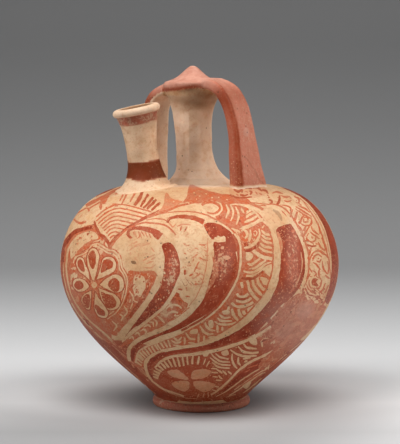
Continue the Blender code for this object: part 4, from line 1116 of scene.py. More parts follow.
def spout_shell():
    """The spout: out over the shoulder, up the waist, over the rolled lip and down the bore."""
    rings, shares = [], []
    hinge = UP.cross(towards(MOUTH_TILT_BEARING))

    def skirt(radius, lift):
        middle = spout_middle(0.0)
        ring = []
        for point in round_points(1.0, ROUND_SEGMENTS):
            wide = radius * (1 + uneven((point.x, point.y, 5.0), 0.08, 1.2, 7.0))
            place = middle + point * wide
            place.z = shoulder_height(math.hypot(place.x, place.y)) + lift
            ring.append(place)
        rings.append(ring)
        shares.append(-0.05)

    def add(share, radius, rise=0.0):
        tilt = Matrix.Rotation(MOUTH_TILT * clamp(share), 3, hinge)
        middle = spout_middle(share) + tilt @ (UP * rise)
        ring = []
        for point in round_points(1.0, ROUND_SEGMENTS):
            wide = radius * (1 + uneven((point.x, point.y, share * 2.5), 0.030, 1.4, 3.0))
            ring.append(middle + tilt @ (point * wide))
        rings.append(ring)
        shares.append(share)

    for radius, lift in SPOUT_SKIRT:
        skirt(radius, lift)
    for step in range(SPOUT_STEPS + 1):
        share = SPOUT_FIRST_SHARE + (1 - LIP_HEIGHT / SPOUT_HEIGHT - SPOUT_FIRST_SHARE) * step / SPOUT_STEPS
        add(share, spout_radius(share))
    roll = 0.5 * LIP_HEIGHT
    lip_radius = spout_radius(1.0)
    for degrees in LIP_DEGREES:
        angle = math.radians(degrees)
        add(1.0, lip_radius + roll * (math.cos(angle) - 1), roll * (math.sin(angle) - 1))
    add(1.0, lip_radius - roll - 0.0006)
    inner_from = len(rings)
    for inward, down in MOUTH_EDGE:
        add(1.0, MOUTH_RADIUS + inward, down)
    for step in range(1, BORE_STEPS + 1):
        add(0.80 - 0.98 * step / BORE_STEPS, SPOUT_BORE)
    vertices, faces = loft(rings)
    shell = Shell(vertices, faces)
    for at, vertex in enumerate(vertices):
        ring, index = divmod(at, ROUND_SEGMENTS)
        share = shares[ring]
        angle = 2 * math.pi * index / ROUND_SEGMENTS
        sway = 0.010 * math.sin(2 * angle + 0.6) + 0.008 * math.sin(3 * angle + 2.0)
        sway += uneven(vertex, 0.012, 260, 1.0)
        if ring >= inner_from:
            shell.carry(at, grime=0.8)
        elif share < 0.999:
            low, high, soft = LOWER_BAND
            band = clamp(0.5 + min(share - (low + sway), high + 0.7 * sway - share) / soft)
            low, high, soft = UPPER_BAND
            ring_band = clamp(0.5 + min(share - low - 0.6 * sway, high + 0.4 * sway - share) / soft)
            stain = max(0.0, uneven(vertex, 0.5, 70, 8.0)) * (share > 0.05)
            shell.carry(at, thin=max(band, ring_band), thick=max(band, 0.55 * ring_band),
                        faded=max(0.25 * ring_band, 0.35 * (1 - band)), bare=0.34 * ring_band,
                        grime=0.08 + 0.70 * band + 0.18 * ring_band + stain)
        else:
            shell.carry(at, faded=0.65, grime=max(0.0, uneven(vertex, 0.5, 120, 5.0)))
    return shell


def strap(line_shares, reach, side):
    """Rings of points round a strap handle, with their place across, out and along."""
    outwards, across = Vector((side, 0.0, 0.0)), Vector((0.0, side, 0.0))
    foot = NECK_LEAN + outwards * reach
    base = shoulder_height(foot.length)
    rise = DISC_RIM_HEIGHT - base
    points = []
    for reach_share, rise_share in line_shares:
        points.append(NECK_LEAN + outwards * reach * reach_share + UP * (base + rise * rise_share))
    line = [Vector(point) for point in smooth_line(points, 7)]
    rings, roles = [], []
    for index, middle in enumerate(line):
        ahead, behind = line[min(index + 1, len(line) - 1)], line[max(index - 1, 0)]
        outer = across.cross((ahead - behind).normalized()) * -1
        drop = clamp((DISC_RIM_HEIGHT - middle.z) / rise)
        half = 0.5 * (HANDLE_WIDTH + HANDLE_FOOT_WIDENING * drop ** 3)
        deep = 0.5 * (HANDLE_THICKNESS + HANDLE_FOOT_THICKENING * drop ** 3)
        section = [
            (-half + 0.55 * deep, -deep), (-0.5 * half, -deep), (0.0, -deep), (0.5 * half, -deep),
            (half - 0.55 * deep, -deep), (half - 0.10 * deep, -0.55 * deep), (half, 0.0),
            (half - 0.10 * deep, 0.60 * deep), (half - 0.50 * deep, deep), (half - 1.15 * deep, 0.96 * deep),
            (half - 1.8 * deep, 0.90 * deep), (0.0, 0.98 * deep), (-half + 1.8 * deep, 0.88 * deep),
            (-half + 1.15 * deep, 0.96 * deep), (-half + 0.50 * deep, deep),
            (-half + 0.10 * deep, 0.60 * deep), (-half, 0.0), (-half + 0.10 * deep, -0.55 * deep),
        ]
        ring, role = [], []
        for aside, out in smooth_line(section, 3, closed=True):
            place = middle + across * aside + outer * out
            bulge = uneven(place, 0.0007, 70, side * 4.0) + uneven(place, 0.00025, 260, side)
            ring.append(place + outer * bulge + across * uneven(place, 0.0006, 55, 9.0 * side))
            role.append((aside / half, out / deep, index / (len(line) - 1), side))
        rings.append(ring)
        roles.append(role)
    return rings, roles


# The direction towards the camera, as an angle from +X
FORWARD = math.radians(CAMERA_DEGREES - 90)

# The knife-cut faces round the false neck: how many, how far turned and twisted, and how deep
NECK_FACES = 7
NECK_FACE_TURN = math.radians(-16)
NECK_FACE_TWIST = 0.25
NECK_FACE_DEPTH = 0.75

# Rings of the neck from its foot to the disc, and of the disc from its edge to its middle
NECK_STEPS = 60
DISC_STEPS = 26


def neck_middle(share):
    """The middle of the leaning false neck at a share of its height."""
    lean = NECK_LEAN * (1 - (1 - clamp(share)) ** 3)
    return lean + UP * (SHOULDER_HEIGHT + (DISC_UNDERSIDE - SHOULDER_HEIGHT) * share)


def neck_solid():
    """The false neck with its shaved faces, and the disc with the knob on top."""
    wedge = 2 * math.pi / NECK_FACES
    rings = []
    for step in range(-2, NECK_STEPS + 1):
        share = step / NECK_STEPS
        middle = neck_middle(share)
        radius = spread_tube(clamp(share), NECK_WAIST, NECK_BASE_FLARE, NECK_TOP_FLARE, NECK_SPREAD)
        ring = []
        for index in range(ROUND_SEGMENTS):
            angle = 2 * math.pi * index / ROUND_SEGMENTS
            turn = angle - FORWARD - NECK_FACE_TURN + NECK_FACE_TWIST * math.sin(2.2 * share)
            shaved = math.cos(0.5 * wedge) / math.cos((turn % wedge) - 0.5 * wedge)
            ends = math.sin(math.pi * clamp(share * 1.05)) ** 0.6
            facet = 1 + NECK_FACE_DEPTH * (shaved - 0.955) * ends
            out = Vector((math.cos(angle), math.sin(angle), 0.0))
            place = middle + out * radius * facet
            ring.append(place + out * (uneven(place, 0.0009, 75, 2.0) + uneven(place, 0.0003, 240, 6.0)))
        rings.append(ring)
    neck = loft(rings, True, True)
    outline = [
        (DISC_RADIUS - DISC_UNDERCUT, DISC_UNDERSIDE),
        (DISC_RADIUS - 0.8 * DISC_UNDERCUT, DISC_UNDERSIDE + 0.0018),
        (DISC_RADIUS - 0.3 * DISC_UNDERCUT, DISC_UNDERSIDE + 0.0055),
        (DISC_RADIUS, DISC_RIM_HEIGHT - DISC_EDGE),
    ]
    for step in range(DISC_STEPS):
        radius = (DISC_RADIUS - DISC_EDGE) * (1 - step / DISC_STEPS) ** 1.1
        crown = DISC_CROWN * (1 - (radius / DISC_RADIUS) ** 2)
        knob = KNOB_HEIGHT * math.exp(-((radius / KNOB_SPREAD) ** KNOB_POINTEDNESS))
        outline.append((radius, DISC_RIM_HEIGHT + crown + knob))
    rings = []
    for radius, height in outline:
        low = clamp((DISC_RIM_HEIGHT + 0.001 - height) / 0.010) * (radius / DISC_RADIUS) ** 4
        ring = []
        for point in round_points(radius, ROUND_SEGMENTS):
            bearing = math.atan2(point.y, point.x) - FORWARD
            near = bell(math.atan2(math.sin(bearing), math.cos(bearing)), 0.0, 0.62)
            lift = 0.0034 * near * low - 0.0004
            ring.append(NECK_LEAN + point + UP * (height + lift + uneven(point, 0.0005, 90, 5.0)))
        rings.append(ring)
    return neck, loft(rings, True, True)


def shoulder_block():
    """A lens of clay that fills the shoulder from within, for the straps and the neck to melt into."""
    top = [(radius, shoulder_height(radius) - 0.0006) for radius in (0.074, 0.068, 0.06, 0.05, 0.04, 0.02)]
    vertices, faces = turned([(0.074, 0.145)] + top + [(0.004, SHOULDER_HEIGHT - 0.0006)], BLOCK_SEGMENTS)
    last = len(vertices) - BLOCK_SEGMENTS
    return vertices, faces + [tuple(range(BLOCK_SEGMENTS))[::-1], tuple(range(last, last + BLOCK_SEGMENTS))]


def melted(solids):
    """Closed solids melted into one surface with soft joints."""
    vertices, faces = [], []
    for some, others in solids:
        first = len(vertices)
        vertices.extend(some)
        faces.extend(tuple(first + index for index in face) for face in others)
    mesh = bpy.data.meshes.new("melting")
    mesh.from_pydata([tuple(v) for v in vertices], [], faces)
    shape = bmesh.new()
    shape.from_mesh(mesh)
    bmesh.ops.recalc_face_normals(shape, faces=shape.faces)
    shape.to_mesh(mesh)
    shape.free()
    melting = bpy.data.objects.new("melting", mesh)
    bpy.context.collection.objects.link(melting)
    remesh = melting.modifiers.new("melt", "REMESH")
    remesh.mode = "VOXEL"
    remesh.voxel_size = MELT_SIZE
    soften = melting.modifiers.new("soften", "SMOOTH")
    soften.factor = 0.5
    soften.iterations = 5
    done = bpy.data.meshes.new_from_object(melting.evaluated_get(bpy.context.evaluated_depsgraph_get()))
    bpy.data.objects.remove(melting)
    return done


def over_shoulder(place):
    """How high a place lies over the body's upper side."""
    return place.z - shoulder_height(min(0.1, math.hypot(place.x, place.y)))


# Marks seen on the upper part, in pixels of the picture: painted shade on the disc's rim, painted shade with
# brown streaks under it, a flaked spot and a crack in the right strap, the strip of painted shade down the
# neck, and the shoulder to the right of it, with less painted shade
DISC_ARCH_COLUMN = 197
DISC_SHADE_COLUMN = 207
UNDER_DISC_SHADE_COLUMN = 196
CHIP_COLUMN, CHIP_ROW = 246.3, 132.4
CHIP_WIDE, CHIP_HIGH = 2.6, 5.0
CRACK_COLUMN, CRACK_ROW = 243.5, 153.8
CRACK_ROWS = (156, 184)
CRACK_SLOPE = 0.63
NECK_SHADE_COLUMNS = (188.4, 203)
NECK_SHADE_ROW = 180
LESS_SHADE_COLUMN = 198


def disc_paint(place, column, sway):
    """Thin and thick paint, fading and bareness of the disc and its knob, and painted shade along its lower
    rim.
    """
    end = DISC_UNDERSIDE + 0.0022 + 0.0022 * bell(column, DISC_ARCH_COLUMN, 17)
    top = clamp((place.z - end + 0.002 * sway) / 0.0012)
    # The band along the lower rim is darkened towards the left with thicker paint, less fading and brown:
    # painted shade
    rim = max(0.0, 1 - max(0.0, place.z - end - 0.0022) / 0.0020)
    rim *= 0.75 * clamp((DISC_SHADE_COLUMN - column) / 12) + 0.12
    knob = max(0.0, 1 - abs(place.z - DISC_RIM_HEIGHT - 0.0100) / 0.0022)
    tip = clamp((place.z - DISC_RIM_HEIGHT - 0.0112 + 0.001 * sway) / 0.0006)
    thick = max(top * (0.08 + 0.92 * rim), 0.45 * knob)
    return top, thick, top * (0.98 - 0.98 * rim), 0.95 * tip, top * 0.42 * rim


def strap_paint(role, height, column, row, sway):
    """Thin and thick paint, fading, bareness and dirt of a strap handle, with painted shade in its hollow
    strip and over its bend.
    """
    aside, out, along, side = role
    right = side > 0
    inner = -0.90 if right else -0.25
    outer = clamp(0.5 + (out - inner + 0.12 * sway) / 0.14)
    edge = clamp((abs(aside) - 0.86 + 0.05 * sway) / 0.05) * (1 if out < 0.80 else 0.3)
    away = clamp((along - 0.20) / 0.30)
    hollow = bell(aside + 0.80 + 0.04 * sway, 0.0, 0.13) * (out > 0.3) * away * right
    bend = bell(along, 0.42, 0.16)
    end = clamp((height - 0.0014 - 0.002 * sway) / 0.0010)
    # Thicker paint, less fading and more brown in the hollow strip and over the bend are painted shade
    thick = outer * min(1.0, 0.12 + 0.34 * edge * away + 0.20 * away + 0.30 * bend + 0.6 * hollow) * end
    faded = outer * max(0.0, 0.96 - 0.30 * edge * away - 0.40 * away - 0.25 * bend - 0.7 * hollow)
    faded = max(faded, 0.7 * (1 - outer))
    grime = outer * away * (0.12 + 0.40 * hollow + 0.12 * edge + 0.30 * bend)
    from_chip = math.hypot((column - CHIP_COLUMN) / CHIP_WIDE, (row - CHIP_ROW) / CHIP_HIGH)
    if right and from_chip < 1 + 0.5 * sway:
        thick, faded = 0.0, 1.0
    jagged = 2.5 * uneven((0.0, 0.0, row), 1.0, 0.12, 4.0)
    crack = abs(column - CRACK_COLUMN - (row - CRACK_ROW) * CRACK_SLOPE - jagged)
    if right and CRACK_ROWS[0] < row < CRACK_ROWS[1] and crack < 0.9:
        grime = 0.34
    return outer * end, thick, faded, 0.0, grime


def neck_paint(height, column, row):
    """Thin and thick paint, fading and bareness of the neck and of the clay at its foot, with painted shade
    on both.
    """
    if height > 0.004:
        # A strip of painted shade down the front of the neck, fading out towards its foot
        left, right = NECK_SHADE_COLUMNS
        strip = clamp((column - left) / 1.4) * clamp((right - column) / 7.0)
        return 0.0, 0.0, 0.75, 0.0, 0.34 * strip * clamp((NECK_SHADE_ROW - row) / 24)
    # Painted shade on the clay at the neck's foot, less of it to the right
    return 0.0, 0.0, 0.75, 0.0, 0.20 - 0.14 * clamp((column - LESS_SHADE_COLUMN) / 8)


def upper_shell():
    """Neck, disc, knob and handles melted together with soft joints, down to the shoulder."""
    straps = (strap(RIGHT_LINE, RIGHT_REACH, 1), strap(LEFT_LINE, LEFT_REACH, -1))
    done = melted([*neck_solid(), shoulder_block()] + [loft(rings, True, True) for rings, _ in straps])
    shape = bmesh.new()
    shape.from_mesh(done)
    buried = [vertex for vertex in shape.verts if over_shoulder(vertex.co) < -0.00035]
    bmesh.ops.delete(shape, geom=buried, context="VERTS")
    shape.verts.index_update()
    vertices = [vertex.co.copy() for vertex in shape.verts]
    faces = [tuple(vertex.index for vertex in face.verts) for face in shape.faces]
    shape.free()
    shell = Shell(vertices, faces)
    known = []
    for rings, roles in straps:
        for ring, role_ring in zip(rings, roles):
            known.extend(zip(ring, role_ring))
    tree = KDTree(len(known))
    for index, (place, _) in enumerate(known):
        tree.insert(place, index)
    tree.balance()
    columns, rows = sight(shell.vertices)
    for index, place in enumerate(vertices):
        column, row = columns[index], rows[index]
        height = over_shoulder(place)
        _, nearest, apart = tree.find(place)
        from_axis = math.hypot(place.x - NECK_LEAN.x, place.y - NECK_LEAN.y)
        sway = uneven(place, 0.30, 160, 2.0)
        if from_axis < DISC_RADIUS + 0.0005 and place.z > DISC_UNDERSIDE - 0.0005:
            paint = disc_paint(place, column, sway)
        elif apart < 0.0032 and height > 0.0012:
            paint = strap_paint(known[nearest][1], height, column, row, sway)
        else:
            paint = neck_paint(height, column, row)
        thin, thick, faded, bare, grime = paint
        # Painted shade under the disc, with brown streaks, over the neck's top and the disc's underside
        under = DISC_UNDERSIDE + 0.0040 - place.z
        if from_axis < DISC_RADIUS and thin < 0.5 and -0.0030 < under < 0.026:
            fall = clamp(1 - (under - 0.010) / 0.0085)
            streaks = 0.94 + uneven((0.6 * place.x, 0.6 * place.y, 2.0 * place.z), 0.5, 90, 6.0)
            grime = max(grime, clamp((0.36 + 0.64 * bell(column, UNDER_DISC_SHADE_COLUMN, 17)) * fall * streaks))
            faded *= 1 - grime
        shell.carry(index, thin=thin, thick=thick, faded=faded, bare=bare, grime=grime)
    return shell


# The first ring of the foot, counted from the middle of its underside, that carries paint
FOOT_FIRST_PAINTED = 7


def foot_shell():
    """The low foot, its groove and the shallow hollow beneath."""
    edge = FOOT_RADIUS - FOOT_EDGE
    recess = FOOT_RADIUS - FOOT_RING_WIDTH
    outline = [
        (0.0, FOOT_RECESS_DEPTH), (0.6 * recess, FOOT_RECESS_DEPTH), (recess - 0.0012, FOOT_RECESS_DEPTH),
        (recess - 0.0004, 0.0009), (recess + 0.0004, 0.0002), (recess + 0.0014, 0.0), (edge - 0.001, 0.0),
        (edge + 0.0004, 0.00025), (FOOT_RADIUS - 0.0003, 0.0008), (FOOT_RADIUS, 0.0016),
        (FOOT_RADIUS + 0.0001, 0.0030), (FOOT_RADIUS - 0.0001, 0.0042), (FOOT_RADIUS - 0.0006, 0.0050),
        (FOOT_RADIUS - 0.0016, 0.0054), (GROOVE_RADIUS - 0.0004, 0.0057), (GROOVE_RADIUS, GROOVE_HEIGHT),
    ]
    vertices, faces = turned(outline, JOIN_SEGMENTS)
    shell = Shell(vertices, faces)
    for index, place in enumerate(vertices):
        if index // JOIN_SEGMENTS < FOOT_FIRST_PAINTED:
            shell.carry(index, bare=0.9)
            continue
        toward = Vector((place.x, place.y, 0.0)).normalized().dot(towards(math.radians(10)))
        worn = 0.34 + 0.5 * uneven(place, 0.5, 150, 5.0)
        shell.carry(index, thin=0.95, thick=0.25 + max(0.0, uneven(place, 0.5, 90, 3.0)), faded=0.45,
                    bare=worn * max(0.0, (toward - 0.970) / 0.030) ** 0.5 + 0.12)
    return shell


def inside_shell():
    """The inside of the body and of the false neck."""
    outline = [(0.0, FLOOR_HEIGHT), (0.5 * GROOVE_RADIUS, FLOOR_HEIGHT)]
    wall = OUTLINE[::-1][::24]
    for before, at, after in zip(wall, wall[1:], wall[2:]):
        along = (after - before) / np.hypot(*(after - before))
        radius, height = at[0] - BODY_WALL * along[1], at[1] + BODY_WALL * along[0]
        if height > FLOOR_HEIGHT + 0.002 and radius > NECK_BORE:
            outline.append((radius, height))
    outline.append((NECK_BORE, SHOULDER_HEIGHT - BODY_WALL))
    outline.append((NECK_BORE, SHOULDER_HEIGHT))
    vertices, faces = turned(outline, INSIDE_SEGMENTS)
    rings = [vertices[-INSIDE_SEGMENTS:]]
    for share, narrowing in ((0.3, 1.0), (0.6, 1.0), (0.85, 1.0), (0.93, 0.75), (0.97, 0.2)):
        middle = neck_middle(share)
        rings.append([middle + point for point in round_points(NECK_BORE * narrowing, INSIDE_SEGMENTS)])
    more, more_faces = loft(rings, False, True)
    first = len(vertices) - INSIDE_SEGMENTS
    vertices = vertices + more[INSIDE_SEGMENTS:]
    faces = faces + [tuple(first + index for index in face) for face in more_faces]
    spout_foot = spout_middle(-0.12)
    kept = []
    for face in faces:
        middle = sum((Vector(vertices[index]) for index in face), Vector()) / len(face)
        over = math.hypot(middle.x - spout_foot.x, middle.y - spout_foot.y) < SPOUT_BORE + 0.0015
        if not (over and middle.z > 0.14):
            kept.append(tuple(face)[::-1])
    shell = Shell(vertices, kept)
    shell.paint["bare"][:] = 1.0
    shell.paint["grime"][:] = 0.5
    return shell


# Worn places on the front: middle and size in the picture, how bare, how faded, and their tilt in degrees
WORN = (
    ((135, 252), (22, 24), 0.36, 0.0, -15),
    ((196, 246), (18, 34), 0.36, 0.0, 8),
    ((196, 285), (14, 30), 0.26, 0.0, 20),
    ((172, 272), (8, 26), 0.35, 0.22, 10),
    ((293, 262), (8, 44), 0.31, 0.34, 0),
    ((150, 300), (16, 26), 0.22, 0.10, 35),
    ((220, 239.4), (6, 3), 0.80, 0.0, 0),
    ((220, 262), (7, 20), 0.31, 0.20, 10),
    ((250, 242), (12, 11), 0.34, 0.0, 0),
    ((226, 262), (8, 22), 0.29, 0.25, 15),
    ((290, 322), (30, 34), 0.14, 0.60, 45),
    ((304, 311), (13, 10), 0.24, 0.95, -40),
    ((286, 330), (9, 17), 0.20, 0.85, 45),
    ((113, 200), (9, 5), 0.75, 0.0, -30),
    ((90, 217), (8, 6), 0.75, 0.0, 0),
    ((166, 310), (10, 14), 0.34, 0.15, 40),
    ((296, 232), (8, 12), 0.35, 0.2, 20),
)


def rise(values, start, length):
    """For a whole array: 0 up to the start, and 1 from a length beyond it."""
    return np.clip((values - start) / length, 0.0, 1.0)


def fall(values, end, length):
    """For a whole array: 1 up to a length before the end, and 0 from the end on."""
    return np.clip((end - values) / length, 0.0, 1.0)


def wear_body(shell):
    """Bare and faded places of the body, by where they show in the picture, and painted shade on its
    shoulder, lower left and sides.
    """
    columns, rows = sight(shell.vertices)
    toward = np.array(camera_frame(CAMERA_TURN)[1] @ Vector((0.0, -1.0, 0.0)))
    front = shell.normals @ toward > -0.05
    for (column, row), (wide, high), bare, faded, tilt in WORN:
        lean = math.radians(tilt)
        x, y = columns - column, rows - row
        u = (x * math.cos(lean) + y * math.sin(lean)) / wide
        v = (-x * math.sin(lean) + y * math.cos(lean)) / high
        near = np.clip(1.6 - 1.2 * np.hypot(u, v), 0.0, 1.0) * front
        shell.paint["bare"] = np.maximum(shell.paint["bare"], bare * near)
        shell.paint["faded"] = np.maximum(shell.paint["faded"], faded * near)
    radius = np.hypot(shell.vertices[:, 0], shell.vertices[:, 1])
    height = shell.vertices[:, 2]
    around_neck = 0.75 * (height > 0.150) * fall(radius, 0.050, 0.010)
    shell.paint["faded"] = np.maximum(shell.paint["faded"], around_neck)
    # Painted shade: darker on the shoulder round the neck, less so right of the neck, and darker towards the
    # lower left and at both sides of the front
    less_shade = rise(columns, LESS_SHADE_COLUMN, 8) * fall(radius, 0.052, 0.010) * front
    painted_shade = (0.32 - 0.24 * less_shade) * rise(height, 0.140, 0.020) * fall(radius, 0.100, 0.034)
    painted_shade += 0.34 * front * fall(columns, 150, 60) * rise(rows, 285, 50)
    painted_shade += 0.20 * front * rise(columns, 312, 16)
    painted_shade += 0.16 * front * fall(columns, 84, 16)
    shell.paint["grime"] = np.minimum(painted_shade, 0.5)


def jar_object(shells):
    """All the shells as one mesh object, with what they carry as named attributes."""
    vertices = np.concatenate([shell.vertices for shell in shells])
    faces, total = [], 0
    for shell in shells:
        faces.extend(tuple(total + index for index in face) for face in shell.faces)
        total += len(shell.vertices)
    mesh = bpy.data.meshes.new("painted_stirrup_jar")
    mesh.from_pydata(vertices.tolist(), [], faces)
    mesh.shade_smooth()
    for name in LAYERS:
        values = []
        for shell in shells:
            amounts = shell.paint[name]
            by_face = shell.by_face.get(name, [0.0] * len(shell.faces))
            for face, value in zip(shell.faces, by_face):
                values.extend(value + amounts[list(face)])
        layer = mesh.attributes.new(name, "FLOAT", "CORNER")
        layer.data.foreach_set("value", np.array(values, dtype=np.float32))
    normals = np.empty(len(vertices) * 3, dtype=np.float32)
    mesh.vertices.foreach_get("normal", normals)
    normals = normals.reshape(-1, 3)
    start = 0
    for shell in shells:
        if shell.normals is not None:
            normals[start:start + len(shell.vertices)] = shell.normals
        start += len(shell.vertices)
    mesh.normals_split_custom_set_from_vertices(normals.tolist())
    made = bpy.data.objects.new("painted_stirrup_jar", mesh)
    bpy.context.collection.objects.link(made)
    return made


def socket(tree, target, value):
    """Joins an output to an input, or sets the input to a value."""
    if hasattr(value, "is_output"):
        tree.links.new(value, target)
    else:
        target.default_value = value


def node(tree, kind, inputs=(), output=0, **settings):
    """A shader node with its settings and inputs; gives the output socket."""
    made = tree.nodes.new("ShaderNode" + kind)
    for name, value in settings.items():
        setattr(made, name, value)
    for name, value in dict(inputs).items():
        socket(tree, made.inputs[name], value)
    return made.outputs[output]


def attribute_node(tree, name):
    """What the mesh carries under a name."""
    return node(tree, "Attribute", output="Fac", attribute_name=name)


def math_node(tree, operation, first, second):
    """A sum on two values."""
    return node(tree, "Math", {0: first, 1: second}, operation=operation)


def ramp_node(tree, value, low, high, to_low=0.0, to_high=1.0):
    """A smooth step from one value to another between two values of the input."""
    inputs = {"Value": value, "From Min": low, "From Max": high, "To Min": to_low, "To Max": to_high}
    return node(tree, "MapRange", inputs, interpolation_type="SMOOTHSTEP")


def linear(red, green, blue):
    """A colour as a screen shows it, from 0 to 255, made linear."""
    return tuple((v / 255) ** 2.2 for v in (red, green, blue)) + (1.0,)


# Colours of the clay, the slip, the paints, and the brown of dirt and painted shade, each with how it varies
SLIP_PALE, SLIP_WARM = linear(233, 195, 153), linear(222, 175, 129)
SLIP_TAN, SLIP_BROWN = linear(196, 142, 100), linear(150, 98, 66)
CLAY_PALE, CLAY_WARM = linear(232, 192, 146), linear(220, 170, 122)
FLECK = linear(204, 106, 68)
CHALK = linear(226, 200, 180)
ORANGE_LIGHT, ORANGE_DEEP = linear(212, 96, 54), linear(186, 66, 33)
DARK_RED, DARK_BROWN, DARK_WORN = linear(158, 63, 39), linear(128, 45, 25), linear(182, 80, 51)
DUSTY_PALE, DUSTY_DEEP = linear(206, 156, 136), linear(184, 124, 104)
PIT = linear(92, 62, 44)
DIRT_AND_SHADE_BROWN = linear(88, 49, 24)


def painted_clay():
    """Fired clay under a cream slip, with thin orange and thick dark red paint, rubbed and flaked."""
    material = bpy.data.materials.new("painted_clay")
    material.use_nodes = True
    tree = material.node_tree
    shader = tree.nodes["Principled BSDF"]
    place = node(tree, "TexCoord", output="Object")

    def grain(scale, detail, rough=0.55, shift=0.0):
        moved = node(tree, "VectorMath", {0: place, 1: (shift, shift * 0.7, -shift)}, operation="ADD")
        inputs = {"Vector": moved, "Scale": scale, "Detail": detail, "Roughness": rough}
        return node(tree, "TexNoise", inputs, output="Fac")

    def times(first, second):
        return math_node(tree, "MULTIPLY", first, second)

    def plus(first, second):
        return math_node(tree, "ADD", first, second)

    def minus(first, second):
        return math_node(tree, "SUBTRACT", first, second)

    def ramp(value, low, high, to_low=0.0, to_high=1.0):
        return ramp_node(tree, value, low, high, to_low, to_high)

    def mix(amount, first, second):
        made = tree.nodes.new("ShaderNodeMix")
        made.data_type = "RGBA"
        socket(tree, made.inputs["Factor"], amount)
        socket(tree, made.inputs[6], first)
        socket(tree, made.inputs[7], second)
        return made.outputs[2]

    thin, thick, faded, bare, grime = (attribute_node(tree, name) for name in LAYERS)
    broad = grain(38, 4)
    middle = grain(170, 4, 0.6, 3.0)
    fine = grain(640, 3, 0.6, 7.0)
    flecks = grain(540, 2, 0.7, 11.0)
    specks = plus(grain(760, 2, 0.6, 17.0), ramp(broad, 0.30, 0.70, -0.05, 0.06))
    slip = mix(ramp(broad, 0.35, 0.68), SLIP_PALE, SLIP_WARM)
    slip = mix(ramp(middle, 0.46, 0.72, 0.0, 0.50), slip, SLIP_TAN)
    slip = mix(ramp(fine, 0.54, 0.80, 0.0, 0.50), slip, SLIP_BROWN)
    buff = mix(ramp(middle, 0.3, 0.7), CLAY_PALE, CLAY_WARM)
    ragged = plus(times(middle, 0.55), times(flecks, 0.45))
    lost_slip = ramp(plus(bare, minus(ragged, 0.5)), 0.62, 0.72)
    ground = mix(lost_slip, slip, buff)
    ground = mix(ramp(flecks, 0.50, 0.70, 0.0, 0.36), ground, FLECK)
    ground = mix(times(faded, ramp(middle, 0.40, 0.70, 0.80, 0.45)), ground, CHALK)
    rubbed = plus(times(bare, 0.46), times(ragged, 0.62))
    kept = ramp(rubbed, 0.46, 0.52, 1.0, 0.0)
    uneven_wash = ramp(plus(times(middle, 0.5), times(fine, 0.5)), 0.42, 0.60, 1.0, 0.58)
    thin_here = times(times(thin, kept), ramp(specks, 0.60, 0.72, 1.0, 0.45))
    thin_here = times(thin_here, uneven_wash)
    rubbed_dark = plus(times(bare, 0.52), times(flecks, 0.66))
    kept_dark = times(ramp(rubbed_dark, 0.47, 0.53, 1.0, 0.12), ramp(specks, 0.62, 0.68, 1.0, 0.15))
    thick_here = times(times(thick, kept), kept_dark)
    orange = mix(ramp(middle, 0.3, 0.7), ORANGE_LIGHT, ORANGE_DEEP)
    dark = mix(ramp(broad, 0.35, 0.65), DARK_RED, DARK_BROWN)
    dark = mix(ramp(middle, 0.42, 0.72, 0.0, 0.8), dark, DARK_WORN)
    colour = mix(times(thin_here, 0.97), ground, orange)
    colour = mix(times(thick_here, 0.92), colour, dark)
    dusty = mix(ramp(middle, 0.3, 0.75), DUSTY_PALE, DUSTY_DEEP)
    colour = mix(times(faded, times(thin, 0.85)), colour, dusty)
    pits = node(tree, "TexVoronoi", {"Vector": place, "Scale": 210.0, "Randomness": 1.0}, output="Distance")
    sparse = ramp(grain(95, 1, 0.5, 21.0), 0.53, 0.60)
    pit = times(ramp(pits, 0.08, 0.17, 1.0, 0.0), sparse)
    colour = mix(times(pit, 0.7), colour, PIT)
    # Dirt and painted shade darken the colour towards a brown
    colour = mix(times(grime, 0.84), colour, DIRT_AND_SHADE_BROWN)
    socket(tree, shader.inputs["Base Color"], colour)
    painted = math_node(tree, "MAXIMUM", thin_here, thick_here)
    socket(tree, shader.inputs["Roughness"], minus(ramp(fine, 0.2, 0.8, 0.52, 0.70), times(painted, 0.10)))
    shader.inputs["Specular IOR Level"].default_value = 0.12
    relief = plus(times(fine, 0.12), times(middle, 0.30))
    relief = plus(relief, times(broad, 0.6))
    relief = minus(relief, times(pit, 0.5))
    relief = plus(relief, times(thick_here, 0.10))
    bump = node(tree, "Bump", {"Height": relief, "Strength": 0.55, "Distance": 0.0011})
    socket(tree, shader.inputs["Normal"], bump)
    return material


# The paper that the jar stands on: half its width, its front edge, the bend up at the back, and its top
PAPER_HALF_WIDTH = 2.4
PAPER_FRONT = -2.5
PAPER_BEND_START = 0.9
PAPER_BEND = 0.6
PAPER_TOP = 2.6

# How pale the paper is painted, by the distance back over the floor and up the wall: painted light and shade,
# darker in front and up the wall
BACKDROP_PAINTED_LIGHT = (
    (-0.30, 0.36), (-0.11, 0.34), (0.0, 0.70), (0.19, 0.68), (0.58, 0.54), (1.2, 0.38), (1.56, 0.26),
    (1.75, 0.21), (1.95, 0.21),
)

# The lamps: name, place about the jar, size and power
LAMPS = (
    ("front", (-0.10, -0.78, 1.45), (1.0, 0.5), 9.6),
    ("left", (-0.88, -0.36, 1.12), (0.7, 0.7), 12.4),
    ("right", (0.90, -0.22, 1.14), (0.7, 0.7), 12.0),
)
LAMP_AIM = Vector((0.0, 0.0, 0.12))


